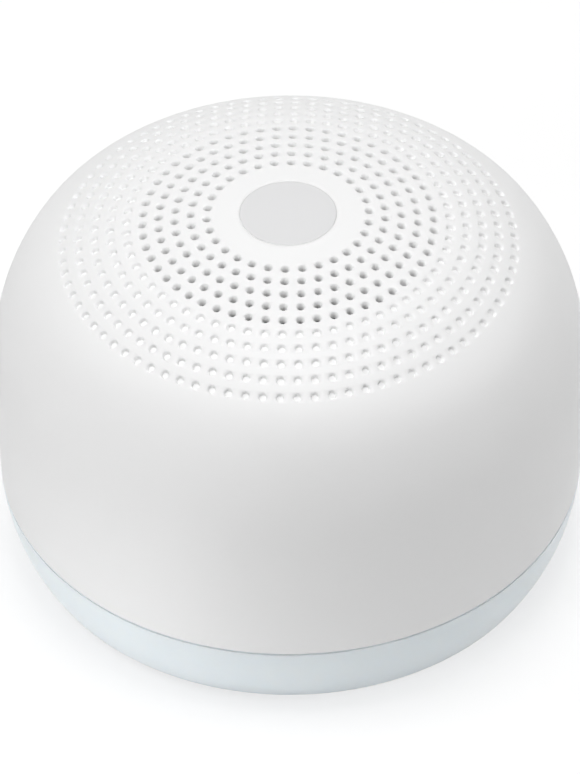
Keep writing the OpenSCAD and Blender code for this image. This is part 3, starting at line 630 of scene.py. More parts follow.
RING_CURVE_R = 0.024
RING_CURVE_C = Vector((BODY_R - RING_CURVE_R, 0.0125))
RING_T = 0.002
RING_TOP = 0.0114
LEDGE_T = 0.0014
LEDGE_W = 0.0021
BASE_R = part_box("base_cover")[1].x
BASE_TOP = 0.0028
SPIGOT_T = 0.0013
SPIGOT_ROOT = 0.0094
SPIGOT_GAP = 0.0003
SPIGOT_R = BODY_R - WALL_T - SPIGOT_GAP
POST_R = 0.0037
POST_GAP = 0.0003
POST_CUT = 0.01
POST_CUT_Z = -0.004
RING_EDGE = 0.00022

ring_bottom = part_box("light_ring")[0].z
spigot_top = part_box("light_ring")[1].z


def ring_wall(z, depth=0.0):
    """The point of the light ring's wall at that height, that deep inside its outer face."""
    radius = RING_CURVE_R - depth
    return Vector((RING_CURVE_C.x + math.sqrt(radius**2 - (z - RING_CURVE_C.y) ** 2), z))


def wall_points(low, high, steps, depth=0.0):
    return [ring_wall(low + (high - low) * step / steps, depth) for step in range(steps + 1)]


def round_edges(piece, width, segments=2, angle=30):
    """Rounds every edge that is sharper than the angle, and shades the rest smooth."""
    activate(piece)
    edges = piece.modifiers.new("edges", "BEVEL")
    edges.width = width
    edges.segments = segments
    edges.limit_method = "ANGLE"
    edges.angle_limit = math.radians(angle)
    bpy.ops.object.modifier_apply(modifier=edges.name)
    soften(piece, angle)


ledge_top = BASE_TOP + LEDGE_T
ring_profile = wall_points(ring_bottom, RING_TOP, 24)
ring_profile += [(SPIGOT_R, RING_TOP), (SPIGOT_R, spigot_top), (SPIGOT_R - SPIGOT_T, spigot_top)]
ring_profile += [(SPIGOT_R - SPIGOT_T, SPIGOT_ROOT)]
ring_profile += wall_points(SPIGOT_ROOT, ledge_top, 12, RING_T)
ring_profile += [(BASE_R - LEDGE_W, ledge_top), (BASE_R - LEDGE_W, BASE_TOP)]
ring_profile += wall_points(BASE_TOP, ring_bottom, 4, RING_T)
light_ring = turned("diffuser_ring", ring_profile, sides=192, ring=True)
for angle in CASE_SCREW_ANGLES:
    notch = round_bar("notch", POST_R + POST_GAP, POST_CUT, 48)
    cut_away(light_ring, settle(notch, from_back(angle, CASE_SCREW_AT, POST_CUT_Z)))
round_edges(light_ring, RING_EDGE)


def frosted(name, colour, roughness, depth_of_light, glow=0.0):
    """A milky material that light sinks into by about that depth. Any glow is painted light: the material
    gives off light in its own colour though no lamp shines in it.
    """
    made = moulded(name, colour, roughness, grain=7000, depth=0.000006, mottle=0.01, uneven=0.03)
    shader = made.node_tree.nodes["Principled BSDF"]
    # The emission at the glow strength is painted light, not light from a lamp
    for socket, value in [
        ("Subsurface Weight", 0.55), ("Subsurface Radius", (0.9, 1.0, 1.1)),
        ("Subsurface Scale", depth_of_light), ("Emission Color", (*colour, 1)), ("Emission Strength", glow),
    ]:
        shader.inputs[socket].default_value = value
    return made


# The ring gets a faint painted glow, though the lamps behind it are not lit
diffuser = frosted("frosted_diffuser", (0.84, 0.91, 0.97), 0.34, 0.002, glow=0.03)
finish_piece(light_ring, diffuser, "root", "light_ring")

# --- Lamps behind the light ring ---
# A white reflector shelf, a ring-shaped board and twelve small lamps on it. The board rests on a rib
# of the base plate.


def softened_copy(name, node, width, segments=2, angle=30, merge=True):
    """A copy of a solid whose shape is right, with its sharp edges rounded. Its flat faces are
    merged first, except on plates with holes, where that would fill them wrongly."""
    activate(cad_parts[node])
    bpy.ops.object.duplicate()
    piece = bpy.context.object
    piece.parent = None
    for key in list(piece.keys()):
        del piece[key]
    piece.name = name
    in_edit(piece)
    bpy.ops.mesh.remove_doubles(threshold=2e-6)
    if merge:
        bpy.ops.mesh.dissolve_limited(angle_limit=math.radians(0.1))
    bpy.ops.object.mode_set(mode="OBJECT")
    if width:
        round_edges(piece, width, segments, angle)
    return piece


def add_copy(name, node, width, material, slot, body="root", **how):
    """Makes a finished piece from a softened copy of one solid."""
    finish_piece(softened_copy(name, node, width, **how), material, body, node)


inner_white = moulded("inner_white", (0.86, 0.86, 0.85), 0.3, grain=3000, depth=0.00001)
add_copy("reflector_shelf", "light_reflector", 0.0001, inner_white, "white_inner")


def board_material():
    """Green solder mask over fine copper tracks."""
    made = moulded("solder_mask", (0.03, 0.16, 0.09), 0.32, grain=2500, depth=0.00001, mottle=0.03)
    tree = made.node_tree
    shader = tree.nodes["Principled BSDF"]
    shader.inputs["Coat Weight"].default_value = 0.3
    place = add_node(tree, "TexCoord")
    cells = add_node(tree, "TexVoronoi", {"Scale": 420, "Randomness": 0.35}, feature="DISTANCE_TO_EDGE")
    track = add_node(tree, "Math", {1: 0.07}, operation="LESS_THAN")
    paint = add_node(tree, "Mix", {"B": (0.07, 0.30, 0.17, 1)}, data_type="RGBA")
    tree.links.new(shader.inputs["Base Color"].links[0].from_socket, paint.inputs["A"])
    wire(
        tree,
        (place, "Object", cells, "Vector"), (cells, "Distance", track, 0),
        (track, "Value", paint, "Factor"), (paint, "Result", shader, "Base Color"),
    )
    return made


solder_mask = board_material()
add_copy("lamp_board", "light_board", 0.00008, solder_mask, "circuit_board", merge=False)
lamp_resin = frosted("lamp_resin", (0.90, 0.80, 0.45), 0.3, 0.0006)
add_copy("lamp_row", "lamps", 0.0002, lamp_resin, "lamp_lens")

# --- Base plate, foot and case screws ---
# The base plate is moulded in pale grey ABS, with posts for the case screws and pillars for the
# board. A rubber ring is pressed into its groove, and four pan-head screws come up through it.

FOOT_T = 0.0016
FOOT_EDGE = 0.0004
FOOT_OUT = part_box("foot_ring")[1].x
FOOT_W = 0.0065

base_plastic = moulded("base_plastic", (0.70, 0.70, 0.695), 0.55, grain=2600, depth=0.00003)
add_copy("base_plate", "base_cover", 0.00015, base_plastic, "base_plastic", merge=False)

foot_in = FOOT_OUT - FOOT_W
foot_profile = [(foot_in, 0), (FOOT_OUT, 0), (FOOT_OUT, FOOT_T), (foot_in, FOOT_T)]
foot = turned("rubber_foot", foot_profile, ring=True)
round_edges(foot, FOOT_EDGE, segments=4)
rubber = moulded(
    "grey_rubber", (0.20, 0.20, 0.205), 0.78, grain=1500, depth=0.00006, mottle=0.03, specular=0.3
)
finish_piece(foot, rubber, "root", "foot_ring")


def metal(name, colour, roughness, grain=3000, depth=0.000006, uneven=0.08):
    """A material for bare or plated metal."""
    made = moulded(name, colour, roughness, grain, depth, mottle=0.03, uneven=uneven)
    made.node_tree.nodes["Principled BSDF"].inputs["Metallic"].default_value = 1
    return made


screw_steel = metal("screw_steel", (0.62, 0.62, 0.61), 0.28)
for name, node in [("case_screw_set", "case_screws"), ("speaker_screw_set", "speaker_screws")]:
    add_copy(name, node, 0.0001, screw_steel, "screw_steel")

# --- Control panel ---
# A curved panel of grey ABS in the back window. It is held by a lip behind the wall, and has round
# holes for the buttons and the lens, a slot for the wheel and an opening for the socket.

PANEL_FACE_R = 0.0393
PANEL_BACK_R = 0.0366
PANEL_GAP = 0.0002
PANEL_LIP = 0.0012
PANEL_DEPTH = 0.022
PANEL_EDGE = 0.00012
HOLE_START = 0.030
HOLE_L = 0.012
BUTTON_R = 0.0028
BUTTON_GAP = 0.00008
BUTTON_ANGLES = [-17.25, -5.75, 5.75, 17.25]
WHEEL_ANGLE = -33
WHEEL_R = 0.0055
WHEEL_T = 0.0028
WHEEL_AT = 0.0354
WHEEL_GAP = 0.0004
SHAFT_ROOM_R = 0.0028
SHAFT_ROOM_H = 0.003
SHAFT_ROOM_DROP = 0.004
SOCKET_ANGLE = 33.5
SOCKET_W = 0.00894
SOCKET_H = 0.00326
SOCKET_CORNER = 0.0014
SOCKET_FACE = 0.0386
SOCKET_L = 0.0073
SOCKET_GAP = 0.0003
LENS_ANGLE = 23.8
LENS_R = 0.0008


def panel_part(name, grow, front_r):
    """The part of a block through the window that lies between the panel's back and radius front_r."""
    block = window_block(name, grow, PANEL_DEPTH)
    profile = [(PANEL_BACK_R, 0), (front_r, 0), (front_r, 2 * PANEL_Z), (PANEL_BACK_R, 2 * PANEL_Z)]
    cut_away(block, turned("curve", profile, sides=360, ring=True), "INTERSECT")
    return block


def facing_back(piece, angle, r=0.0, z=PANEL_Z):
    """Lays a piece that was made upright so that its top faces out of the back at that angle."""
    return settle(piece, from_back(angle, r, z), (-math.pi / 2, 0, -math.radians(angle)))


def rounded_bar(name, width, height, length, corner):
    """An upright bar whose section is a rectangle with round corners."""
    bar = slab(name, (-width / 2, -height / 2, 0), (width / 2, height / 2, length))
    return round_along(bar, 2, corner, 8)


def cut_hole(tool, angle):
    cut_away(panel, facing_back(tool, angle, HOLE_START))


panel = panel_part("control_plate", -PANEL_GAP, PANEL_FACE_R)
lip = panel_part("panel_lip", PANEL_LIP, BODY_R - WALL_T - PANEL_GAP)
cut_away(panel, lip, "UNION")
for angle in BUTTON_ANGLES:
    cut_hole(round_bar("hole", BUTTON_R + BUTTON_GAP, HOLE_L), angle)
cut_hole(round_bar("hole", LENS_R + PANEL_GAP / 2, HOLE_L, 24), LENS_ANGLE)
opening_w, opening_h = SOCKET_W + 2 * SOCKET_GAP, SOCKET_H + 2 * SOCKET_GAP
cut_hole(rounded_bar("hole", opening_w, opening_h, HOLE_L, SOCKET_CORNER + SOCKET_GAP), SOCKET_ANGLE)
for radius, height, drop, sides in [
    (WHEEL_R + WHEEL_GAP, WHEEL_T + 2 * WHEEL_GAP, WHEEL_T / 2 + WHEEL_GAP, 96),
    (SHAFT_ROOM_R, SHAFT_ROOM_H, SHAFT_ROOM_DROP, 48),
]:
    place = from_back(WHEEL_ANGLE, WHEEL_AT, PANEL_Z - drop)
    cut_away(panel, settle(round_bar("hole", radius, height, sides), place))
round_edges(panel, PANEL_EDGE)
panel_grey = moulded("panel_grey", (0.57, 0.585, 0.60), 0.48, grain=3200, depth=0.00002)
finish_piece(panel, panel_grey, "root", "control_panel")

# --- Push buttons ---
# Four round buttons of darker grey plastic, each with a shallow dish and a printed sign: power,
# sound, timer and night light. A flange behind the panel keeps each in, and a stem meets a switch.

BUTTON_TOP = 0.0399
FLANGE_R = 0.0033
FLANGE_AT = 0.0360
FLANGE_T = 0.001
STEM_R = 0.0012
STEM_L = 0.0009
BUTTON_ROUND = 0.00035
DISH_R = 0.0021
DISH = 0.00016
INK = 0.00003

button_grey = moulded("button_grey", (0.30, 0.305, 0.32), 0.46, grain=3600, depth=0.000015)
print_white = moulded("print_white", (0.86, 0.86, 0.86), 0.5, grain=6000, depth=0.000003)
button_l = BUTTON_TOP - FLANGE_AT
ink_low = button_l - DISH - 0.00001
ink_high = ink_low + INK


def ink_ring(inner, outer):
    profile = [(inner, ink_low), (outer, ink_low), (outer, ink_high), (inner, ink_high)]
    return turned("ink", profile, 48, ring=True)


def ink_bar(x0, y0, x1, y1):
    return slab("ink", (x0, y0, ink_low), (x1, y1, ink_high))


def ink_disc(radius, at=(0, 0), low=0.0):
    """A disc of ink, or with a negative low a cutter that reaches below and above it."""
    disc = round_bar("ink", radius, INK - 2 * low, 48)
    return settle(disc, (at[0], at[1], ink_low + low))


def power_sign():
    ring = ink_ring(0.00115, 0.00142)
    cut_away(ring, slab("gap", (-0.00042, 0.0004, ink_low - INK), (0.00042, 0.002, ink_high + INK)))
    return [ring, ink_bar(-0.00014, 0.0003, 0.00014, 0.00165)]


def sound_sign():
    head = ink_disc(0.0005, (-0.00035, -0.00095))
    stem = ink_bar(-0.00005, -0.00095, 0.00018, 0.0013)
    return [head, stem, ink_bar(0.00018, 0.0009, 0.00095, 0.0013)]


def timer_sign():
    face = ink_ring(0.0013, 0.00156)
    minute = ink_bar(-0.00012, -0.00012, 0.00012, 0.00095)
    return [face, minute, ink_bar(0.00012, -0.00012, 0.0007, 0.00012)]


def night_sign():
    moon = ink_disc(0.00145)
    cut_away(moon, ink_disc(0.0012, (0.00062, 0.00035), -INK))
    return [moon]


BUTTONS = [
    ("power", power_sign), ("sound", sound_sign), ("timer", timer_sign), ("night_light", night_sign),
]
for (name, draw), angle in zip(BUTTONS, BUTTON_ANGLES):
    body = f"{name}_button"
    arc_c = Vector((BUTTON_R - BUTTON_ROUND, button_l - BUTTON_ROUND))
    arc = arc_points(arc_c, BUTTON_ROUND, 0, math.pi / 2, 3)
    profile = [(STEM_R, -FLANGE_T - STEM_L), (STEM_R, -FLANGE_T), (FLANGE_R, -FLANGE_T), (FLANGE_R, 0)]
    profile += [(BUTTON_R, 0)] + arc + [(DISH_R, button_l - DISH), (DISH_R / 2, button_l - DISH)]
    cap = facing_back(turned(f"{name}_cap", profile, 64), angle, FLANGE_AT)
    finish_piece(cap, button_grey, body, body)
    sign = settle(joined(f"{name}_print", draw()), turn=(0, 0, math.pi))
    facing_back(sign, angle, FLANGE_AT)
    paint_piece(sign, print_white)
    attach(sign, body)

# Each stem pushes the pin of a side-pressed switch on the main board
black_plastic = moulded("black_plastic", (0.025, 0.025, 0.027), 0.45, grain=3500, depth=0.00001)
PIN_R = 0.0009
PIN_L = 0.0013
PIN_GAP = 0.0001
PIN_EDGE = 0.00015
PIN_AT = FLANGE_AT - FLANGE_T - STEM_L - PIN_GAP - PIN_L
for (name, _), angle in zip(BUTTONS, BUTTON_ANGLES):
    pin = round_bar(f"{name}_pin", PIN_R, PIN_L, 32)
    round_edges(pin, PIN_EDGE, 3)
    facing_back(pin, angle, PIN_AT)
    finish_piece(pin, black_plastic, f"{name}_button", f"{name}_plunger")
add_copy("switch_row", "push_switches", 0.0001, black_plastic, "black_plastic")

# --- Volume wheel ---
# A grooved thumbwheel of dark grey plastic on a steel shaft. It stands out of a slot in the panel
# and turns a flat sensor on the main board.

GROOVES = 28
GROOVE = 0.00035
GROOVE_START = 0.0045
SHAFT_R = 0.0015
SHAFT_GAP = 0.00005
WHEEL_ROUND = 0.0003
WHEEL_HUB = 0.0042
HUB_DIP = 0.0002

low, high = PANEL_Z - WHEEL_T / 2, PANEL_Z + WHEEL_T / 2
edge_in = WHEEL_R - 0.7 * WHEEL_ROUND
bore = SHAFT_R + SHAFT_GAP
flat = WHEEL_R - 2.5 * WHEEL_ROUND
wheel_profile = [
    (bore, low), (WHEEL_HUB, low), (flat, low), (edge_in, low + 0.3 * WHEEL_ROUND),
    (WHEEL_R, low + WHEEL_ROUND), (WHEEL_R, high - WHEEL_ROUND), (edge_in, high - 0.3 * WHEEL_ROUND),
    (flat, high), (WHEEL_HUB, high), (WHEEL_HUB - HUB_DIP, high - HUB_DIP), (bore, high - HUB_DIP)
]
wheel = turned("thumbwheel", wheel_profile, sides=GROOVES * 8, ring=True)
in_edit(wheel)
mesh = bmesh.from_edit_mesh(wheel.data)
for v in mesh.verts:
    if v.co.xy.length > GROOVE_START:
        around = math.atan2(v.co.y, v.co.x) * GROOVES
        v.co.xy *= 1 - GROOVE / WHEEL_R * max(0, math.cos(around)) ** 2
bmesh.update_edit_mesh(wheel.data)
bpy.ops.object.mode_set(mode="OBJECT")
settle(wheel, from_back(WHEEL_ANGLE, WHEEL_AT))
soften(wheel, 60)
wheel_grey = moulded("wheel_grey", (0.21, 0.215, 0.225), 0.5, grain=3200, depth=0.00002)
finish_piece(wheel, wheel_grey, "volume", "volume_wheel")
add_copy("wheel_shaft", "volume_shaft", 0.0001, screw_steel, "screw_steel", body="volume")
brown_board = moulded("brown_board", (0.22, 0.11, 0.045), 0.5, grain=1800, depth=0.00002, mottle=0.06)
for name, node in [("wheel_sensor", "volume_sensor"), ("terminal_strip", "speaker_terminals")]:
    add_copy(name, node, 0.00008, brown_board, "brown_board")

# --- Charging socket and status lens ---
# A folded steel shell round a black tongue with gilt contacts, standing on a riser on the board, and
# a small clear lens in front of a green lamp.

SOCKET_WALL = 0.0003
TONGUE_BACK = 0.001
CONTACTS = 12
CONTACT = Vector((0.00025, 0.00006, 0.0029))
CONTACT_START = 0.0022
CONTACT_PITCH = 0.0005
CONTACT_SIDE = 0.00036

shell = rounded_bar("socket_shell", SOCKET_W, SOCKET_H, SOCKET_L, SOCKET_CORNER)
inner_w, inner_h = SOCKET_W - 2 * SOCKET_WALL, SOCKET_H - 2 * SOCKET_WALL
inner = rounded_bar("inner", inner_w, inner_h, SOCKET_L, SOCKET_CORNER - SOCKET_WALL)
inner.location.z = TONGUE_BACK
cut_away(shell, inner)
round_edges(shell, 0.00008, 3)
facing_back(shell, SOCKET_ANGLE, SOCKET_FACE - SOCKET_L)
socket_steel = metal("socket_steel", (0.66, 0.65, 0.63), 0.3)
finish_piece(shell, socket_steel, "root", "charging_socket")
for name, node in [("socket_tongue_bar", "socket_tongue"), ("socket_block", "socket_riser")]:
    add_copy(name, node, 0.00006, black_plastic, "black_plastic")
strips = []
for i in range(CONTACTS):
    for side in (-1, 1):
        x = (i - (CONTACTS - 1) / 2) * CONTACT_PITCH
        low = Vector((x - CONTACT.x / 2, side * CONTACT_SIDE - CONTACT.y / 2, CONTACT_START))
        strips.append(slab("contact", low, low + CONTACT))
contacts = facing_back(joined("socket_contacts", strips), SOCKET_ANGLE, SOCKET_FACE - SOCKET_L)
gilt = metal("gilt", (0.86, 0.62, 0.25), 0.25)
paint_piece(contacts, gilt)
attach(contacts, "root")

LENS_L = 0.00255
LENS_DOME = 0.0002
LENS_SET = 0.0001
lens_profile = [(LENS_R, 0), (LENS_R, LENS_L), (0.85 * LENS_R, LENS_L + 0.5 * LENS_DOME)]
lens_profile += [(0.5 * LENS_R, LENS_L + 0.9 * LENS_DOME), (0, LENS_L + LENS_DOME)]
lens = turned("lens", lens_profile, 48)
facing_back(lens, LENS_ANGLE, PANEL_BACK_R + LENS_SET)
clear_lens = frosted("clear_lens", (0.80, 0.86, 0.80), 0.15, 0.0008)
finish_piece(lens, clear_lens, "root", "status_lens")
green_resin = frosted("green_resin", (0.45, 0.75, 0.40), 0.25, 0.0006)
add_copy("status_led", "status_lamp", 0.0001, green_resin, "lamp_lens")

# --- Main board ---
# A half-round board with its chips, capacitors and lead connectors, held by three screws.

aluminium = metal("can_aluminium", (0.75, 0.75, 0.76), 0.32)
connector_white = moulded("connector_white", (0.84, 0.82, 0.76), 0.45, grain=3000, depth=0.00001)
BOARD_PARTS = [
    ("main_circuit", "main_board", "circuit_board", solder_mask, 0.00006),
    ("chip_set", "board_chips", "black_plastic", black_plastic, 0.00012),
    ("board_screw_set", "board_screws", "screw_steel", screw_steel, 0.0001),
    ("capacitor_set", "board_capacitors", "can_aluminium", aluminium, 0.0004),
    ("connector_set", "lead_connectors", "connector_white", connector_white, 0.0002),
]
for name, node, slot, material, width in BOARD_PARTS:
    add_copy(name, node, width, material, slot)

# --- Battery ---
# A flat lithium cell in a shrunk film sleeve, stuck to the base plate with two strips of foam tape.

sleeve = moulded("battery_sleeve", (0.34, 0.40, 0.48), 0.28, grain=350, depth=0.00012, mottle=0.03)
add_copy("flat_cell", "battery_cell", 0.0009, sleeve, "battery_wrap", segments=4, angle=60)
foam = moulded("grey_foam", (0.10, 0.10, 0.105), 0.95, grain=2200, depth=0.00015, mottle=0.12, specular=0.1)
for name, node in [("foam_strips", "battery_pads"), ("foam_gasket", "speaker_gasket")]:
    pad = softened_copy(name, node, 0.0002, 3)
    finish_piece(pad, foam, "root", node)

# --- Speaker ---
# A 45 mm driver: a pressed steel basket, a paper cone on a rubber surround, a wound coil on its
# former, a waved fabric spider, and a ferrite magnet between a plate and a yoke.

SURROUND_T = 0.0003
ROLL_R = 0.0015
ROLL_C = Vector((0.0177, 0.0466994))
ROLL_STEPS = 16
SURROUND_OUT = 0.0202
FLANGE_TOP = 0.0471994
CONE_RIM = 0.001
CONE_STEP = 0.0002
CONE_IN = 0.0072
CONE_T = 0.0004
CAP_H = 0.0026
CAP_T = 0.0003
CAP_TIP = 0.01
CAP_STEPS = 12
SPIDER_IN = 0.0073
SPIDER_OUT = 0.0148
SPIDER_RIM = 0.0016
SPIDER_REST = 0.0377994
SPIDER_T = 0.0004
SPIDER_DROP = 0.001
SPIDER_WAVE = 0.00035
SPIDER_STEPS = 48

basket_steel = moulded("basket_steel", (0.045, 0.05, 0.055), 0.4, grain=2500, depth=0.00002, specular=0.6)
basket = softened_copy("basket_frame", "speaker_basket", 0, merge=False)
soften(basket, 25)
finish_piece(basket, basket_steel, "root", "speaker_basket")
paper = moulded(
    "cone_paper", (0.085, 0.085, 0.088), 0.8, grain=1300, depth=0.00006, mottle=0.12, specular=0.25
)

# The cone: a thin funnel with a flat rim for the surround, and a shallow dome over its middle
cone_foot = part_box("speaker_cone")[0].z
cone_r, _, cone_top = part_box("speaker_cone")[1]
cone_profile = [(CONE_IN, cone_foot), (cone_r - CONE_RIM, cone_top - CONE_T), (cone_r, cone_top - CONE_T)]
cone_profile += [(cone_r, cone_top), (cone_r - CONE_RIM - CONE_STEP, cone_top)]
cone_profile += [(CONE_IN, cone_foot + CONE_T)]
paper_cone = turned("paper_cone", cone_profile, 144, ring=True)
finish_piece(paper_cone, paper, "cone", "speaker_cone")
cap_r, _, cap_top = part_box("speaker_dust_cap")[1]
ball_r = (cap_r**2 + CAP_H**2) / (2 * CAP_H)
cap_edge = math.acos(cap_r / ball_r)
cap_c = Vector((0, cap_top - ball_r))
cap_profile = arc_points(cap_c, ball_r, math.pi / 2 - CAP_TIP, cap_edge, CAP_STEPS)
cap_profile += arc_points(cap_c, ball_r - CAP_T, cap_edge, math.pi / 2 - CAP_TIP, CAP_STEPS)
dust_dome = turned("dust_dome", cap_profile, 144)
finish_piece(dust_dome, paper, "cone", "speaker_dust_cap")


def stretch_piece(piece, material, node):
    """Gives a piece that goes with the cone at one height and stays at the other its material, hides its
    solid and leaves its place in its mesh.
    """
    paint_piece(piece, material)
    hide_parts(node)
    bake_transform(piece)


# The surround: its inner lip goes with the cone, and its outer rim stays on the basket
rise = FLANGE_TOP - ROLL_C.y
inner_roll = ROLL_R - SURROUND_T
lip_r = ROLL_C.x - ROLL_R - CONE_RIM
roll_foot = math.pi + math.asin(SURROUND_T / inner_roll)
profile = [Vector((lip_r, ROLL_C.y - SURROUND_T))]
profile += arc_points(ROLL_C, inner_roll, roll_foot, math.asin(rise / inner_roll), ROLL_STEPS)
profile += [Vector((SURROUND_OUT, FLANGE_TOP)), Vector((SURROUND_OUT, FLANGE_TOP + SURROUND_T))]
profile += arc_points(ROLL_C, ROLL_R, math.asin((rise + SURROUND_T) / ROLL_R), math.pi, ROLL_STEPS)
profile += [Vector((lip_r, ROLL_C.y))]
surround = turned("rubber_surround", profile, 144, ring=True)
black_rubber = moulded("black_rubber", (0.03, 0.03, 0.032), 0.6, grain=2600, depth=0.00002)
stretch_piece(
    surround, black_rubber, "speaker_surround"
)

# The spider: its inner edge goes with the coil former, and its outer rim stays on the basket
spider_top = []
for i in range(SPIDER_STEPS + 1):
    share = i / SPIDER_STEPS
    height = SPIDER_T - SPIDER_DROP * (1 - share) + SPIDER_WAVE * math.sin(4 * math.pi * share)
    r = SPIDER_IN + (SPIDER_OUT - SPIDER_RIM - SPIDER_IN) * share
    spider_top.append(Vector((r, SPIDER_REST + height)))
spider_top.append(Vector((SPIDER_OUT, SPIDER_REST + SPIDER_T)))
spider_under = [point - Vector((0, SPIDER_T)) for point in spider_top]
spider = turned("waved_spider", spider_under + spider_top[::-1], 144, ring=True)
fabric = woven("spider_fabric", (0.42, 0.26, 0.07), (0.22, 0.13, 0.03), 1500, 0.00008)
stretch_piece(spider, fabric, "speaker_spider")


def winding_material():
    """Enamelled copper wire, wound turn on turn."""
    made = metal("copper_wire", (0.78, 0.34, 0.16), 0.3)
    tree = made.node_tree
    place = add_node(tree, "TexCoord")
    turns = add_node(tree, "TexWave", {"Scale": 1600}, bands_direction="Z")
    bump = add_node(tree, "Bump", {"Distance": 0.00004})
    wire(
        tree,
        (place, "Object", turns, "Vector"), (turns, "Fac", bump, "Height"),
        (bump, "Normal", tree.nodes["Principled BSDF"], "Normal"),
    )
    return made


film = moulded("former_film", (0.35, 0.12, 0.02), 0.25, grain=4000, depth=0.000004)
plated_steel = metal("plated_steel", (0.60, 0.59, 0.56), 0.35)
# The yoke keeps the plain material of its solid, and so do the leads below
solid_steel = bpy.data.materials["plated_steel"]
ferrite = moulded("ferrite", (0.035, 0.035, 0.038), 0.7, grain=1200, depth=0.00008, mottle=0.1)
MOTOR_PARTS = [
    ("former_tube", "coil_former", "cone", "former_film", film, 0),
    ("coil_winding", "voice_coil", "cone", "copper_wire", winding_material(), 0),
    ("top_plate_ring", "speaker_top_plate", "root", "plated_steel", plated_steel, 0.0002),
    ("magnet_ring", "speaker_magnet", "root", "ferrite", ferrite, 0.0004),
    ("pole_yoke", "speaker_yoke", "root", "plated_steel", solid_steel, 0.0003),
]
for name, node, body, slot, material, width in MOTOR_PARTS:
    add_copy(name, node, width, material, slot, body)

# --- Leads ---
# Three pairs of stranded leads in soft insulation run from the connectors to the speaker, the
# battery and the lamp board. Both ends of each are fixed.

LEAD_R = 0.00055
TERMINAL_R = 0.0222
TERMINAL_Z = 0.0429994
CONNECTOR_X = 0.009
LEAD_IN = Vector((0, -0.01275, 0.0193))
BATTERY_END = Vector((0, -0.015, 0.00665))
LAMP_END = Vector((0, -0.0235, 0.0062))


def eased(path, rounds=3):
    """Cuts the corners off a path, which leaves a smooth bend."""
    for step in range(rounds):
        cut = [path[0]]
        for one, other in zip(path, path[1:]):
            cut += [one.lerp(other, 0.25), one.lerp(other, 0.75)]
        path = cut + [path[-1]]
    return path


def placed(name, data):
    """Puts a curve, lamp or camera in the scene."""
    thing = bpy.data.objects.new(name, data)
    bpy.context.scene.collection.objects.link(thing)
    return thing


def lead(name, x, path):
    """A round lead along a path of places in an upright plane at x."""
    curve = bpy.data.curves.new(name, "CURVE")
    curve.dimensions = "3D"
    curve.bevel_depth = LEAD_R
    curve.bevel_resolution = 3
    curve.use_fill_caps = True
    points = eased([Vector((x, y, z)) for y, z in path])
    line = curve.splines.new("POLY")
    line.points.add(len(points) - 1)
    for held, point in zip(line.points, points):
        held.co = (*point, 1)
    activate(placed(name, curve))
    bpy.ops.object.convert(target="MESH")
    soften(bpy.context.object)
    return bpy.context.object


speaker_path = [
    (-TERMINAL_R - 0.0015, TERMINAL_Z - 0.00075), (-TERMINAL_R - 0.0028, TERMINAL_Z - 0.0028),
    (-TERMINAL_R - 0.0028, LEAD_IN.z + 0.008), (-TERMINAL_R + 0.0015, LEAD_IN.z), LEAD_IN.yz
]
battery_path = [
    BATTERY_END.yz, (BATTERY_END.y - 0.005, BATTERY_END.z), (BATTERY_END.y - 0.005, LEAD_IN.z), LEAD_IN.yz
]
lamp_path = [
    LAMP_END.yz, (LAMP_END.y, LAMP_END.z + 0.005), (LAMP_END.y + 0.0028, LEAD_IN.z), LEAD_IN.yz
]
LEADS = [
    ("speaker_wire", 0, 0.0012, speaker_path, "red_lead", "speaker_leads"),
    ("battery_wire", CONNECTOR_X, 0.0008, battery_path, "red_lead", "battery_leads"),
    ("lamp_wire", -CONNECTOR_X, 0.0008, lamp_path, "yellow_lead", "light_leads"),
]
for name, x, apart, path, slot, node in LEADS:
    pair = joined(name, [lead(f"{name}_{side}", x + side * apart, path) for side in (-1, 1)])
    finish_piece(pair, bpy.data.materials[slot], "root", node)

# --- Table, light and camera ---
# The table is plain and white. Soft light comes from above, from behind, from both sides and from
# the front left, and a small low card at the front left brings up the foot of the wall.

table = added("circle", "table", vertices=96, radius=4, fill_type="NGON")
table_white = bpy.data.materials.new("table_white")
table_white.use_nodes = True
tree = table_white.node_tree
shader = tree.nodes["Principled BSDF"]
shader.inputs["Roughness"].default_value = 0.6
shader.inputs["Emission Color"].default_value = (1, 1, 1, 1)
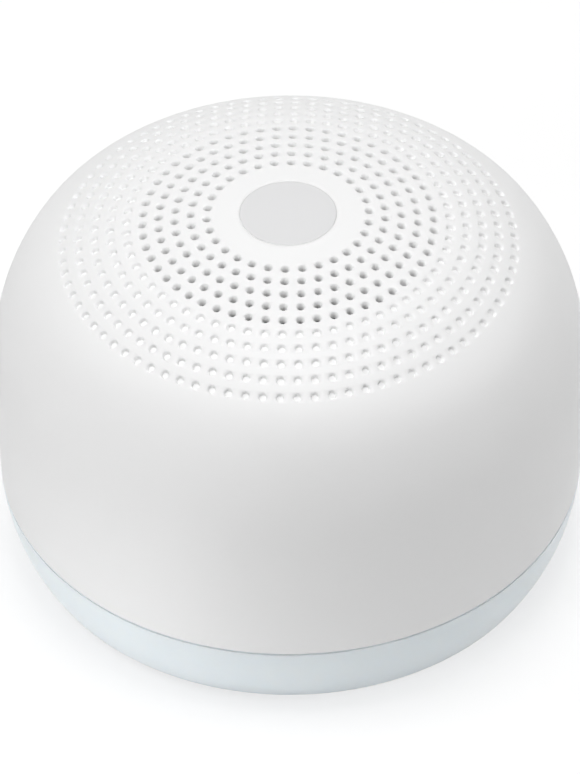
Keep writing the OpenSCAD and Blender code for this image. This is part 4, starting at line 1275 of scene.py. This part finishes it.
# Seen straight or in a gloss, the table keeps a third of its shading and glows to white
path = add_node(tree, "LightPath")
seen = add_node(tree, "Math", operation="MAXIMUM")
paint = add_node(
    tree, "Mix", {"A": (0.88, 0.88, 0.88, 1), "B": (0.36, 0.36, 0.36, 1)}, data_type="RGBA"
)
glow = add_node(tree, "Math", {1: 0.67}, operation="MULTIPLY")
wire(
    tree,
    (path, "Is Camera Ray", seen, 0), (path, "Is Glossy Ray", seen, 1),
    (seen, "Value", paint, "Factor"), (paint, "Result", shader, "Base Color"),
    (seen, "Value", glow, 0), (glow, "Value", shader, "Emission Strength"),
)
table.data.materials.append(table_white)

world = bpy.data.worlds.new("studio")
bpy.context.scene.world = world
world.use_nodes = True
tree = world.node_tree
sky = tree.nodes["Background"]
sky.inputs["Color"].default_value = (1, 1, 1, 1)
path = add_node(tree, "LightPath")
seen = add_node(tree, "MapRange", {"To Min": 0.178, "To Max": 1.0})
wire(tree, (path, "Is Camera Ray", seen, "Value"), (seen, "Result", sky, "Strength"))


def soft_lamp(name, place, target, size, power):
    """An area lamp that points at its target and isn't seen itself."""
    data = bpy.data.lights.new(name, "AREA")
    data.shape = "RECTANGLE"
    data.size, data.size_y = size
    data.energy = power
    lamp = placed(name, data)
    lamp.location = place
    lamp.visible_camera = False
    lamp.rotation_euler = (Vector(target) - Vector(place)).to_track_quat("-Z", "Y").to_euler()


MIDDLE = (0, 0, 0.03)
FOOT = (0, 0, 0.006)
soft_lamp("overhead", (0, 0, 0.6), MIDDLE, (0.2, 0.2), 1.46)
soft_lamp("back", (0, 0.8, 0.8), MIDDLE, (0.8, 0.8), 1.75)
soft_lamp("left", (-0.6, 0, 0.8), MIDDLE, (0.4, 0.4), 1.5)
soft_lamp("right", (1.0, 0, 0.5), MIDDLE, (0.7, 0.7), 2.4)
soft_lamp("front_left", (-0.6, -0.8, 0.5), MIDDLE, (0.6, 0.6), 2.4)
soft_lamp("foot_left", (-0.0475, -0.0706, 0.003), FOOT, (0.03, 0.004), 0.0033)

TARGET = Vector((0, 0, 0.02292))
CAMERA_AT = Vector((0, -0.5263, 0.5104))
ROLL = math.radians(-0.62)
camera_data = bpy.data.cameras.new("camera")
camera_data.sensor_fit = "VERTICAL"
camera_data.sensor_height = 36
camera_data.lens = 244.3
camera_data.clip_start = 0.01
camera = placed("camera", camera_data)
camera.location = CAMERA_AT
looking = (TARGET - CAMERA_AT).to_track_quat("-Z", "Y")
camera.rotation_euler = (looking.to_matrix() @ Matrix.Rotation(ROLL, 3, "Z")).to_euler()
bpy.context.scene.camera = camera
bpy.context.scene.view_settings.view_transform = "Standard"
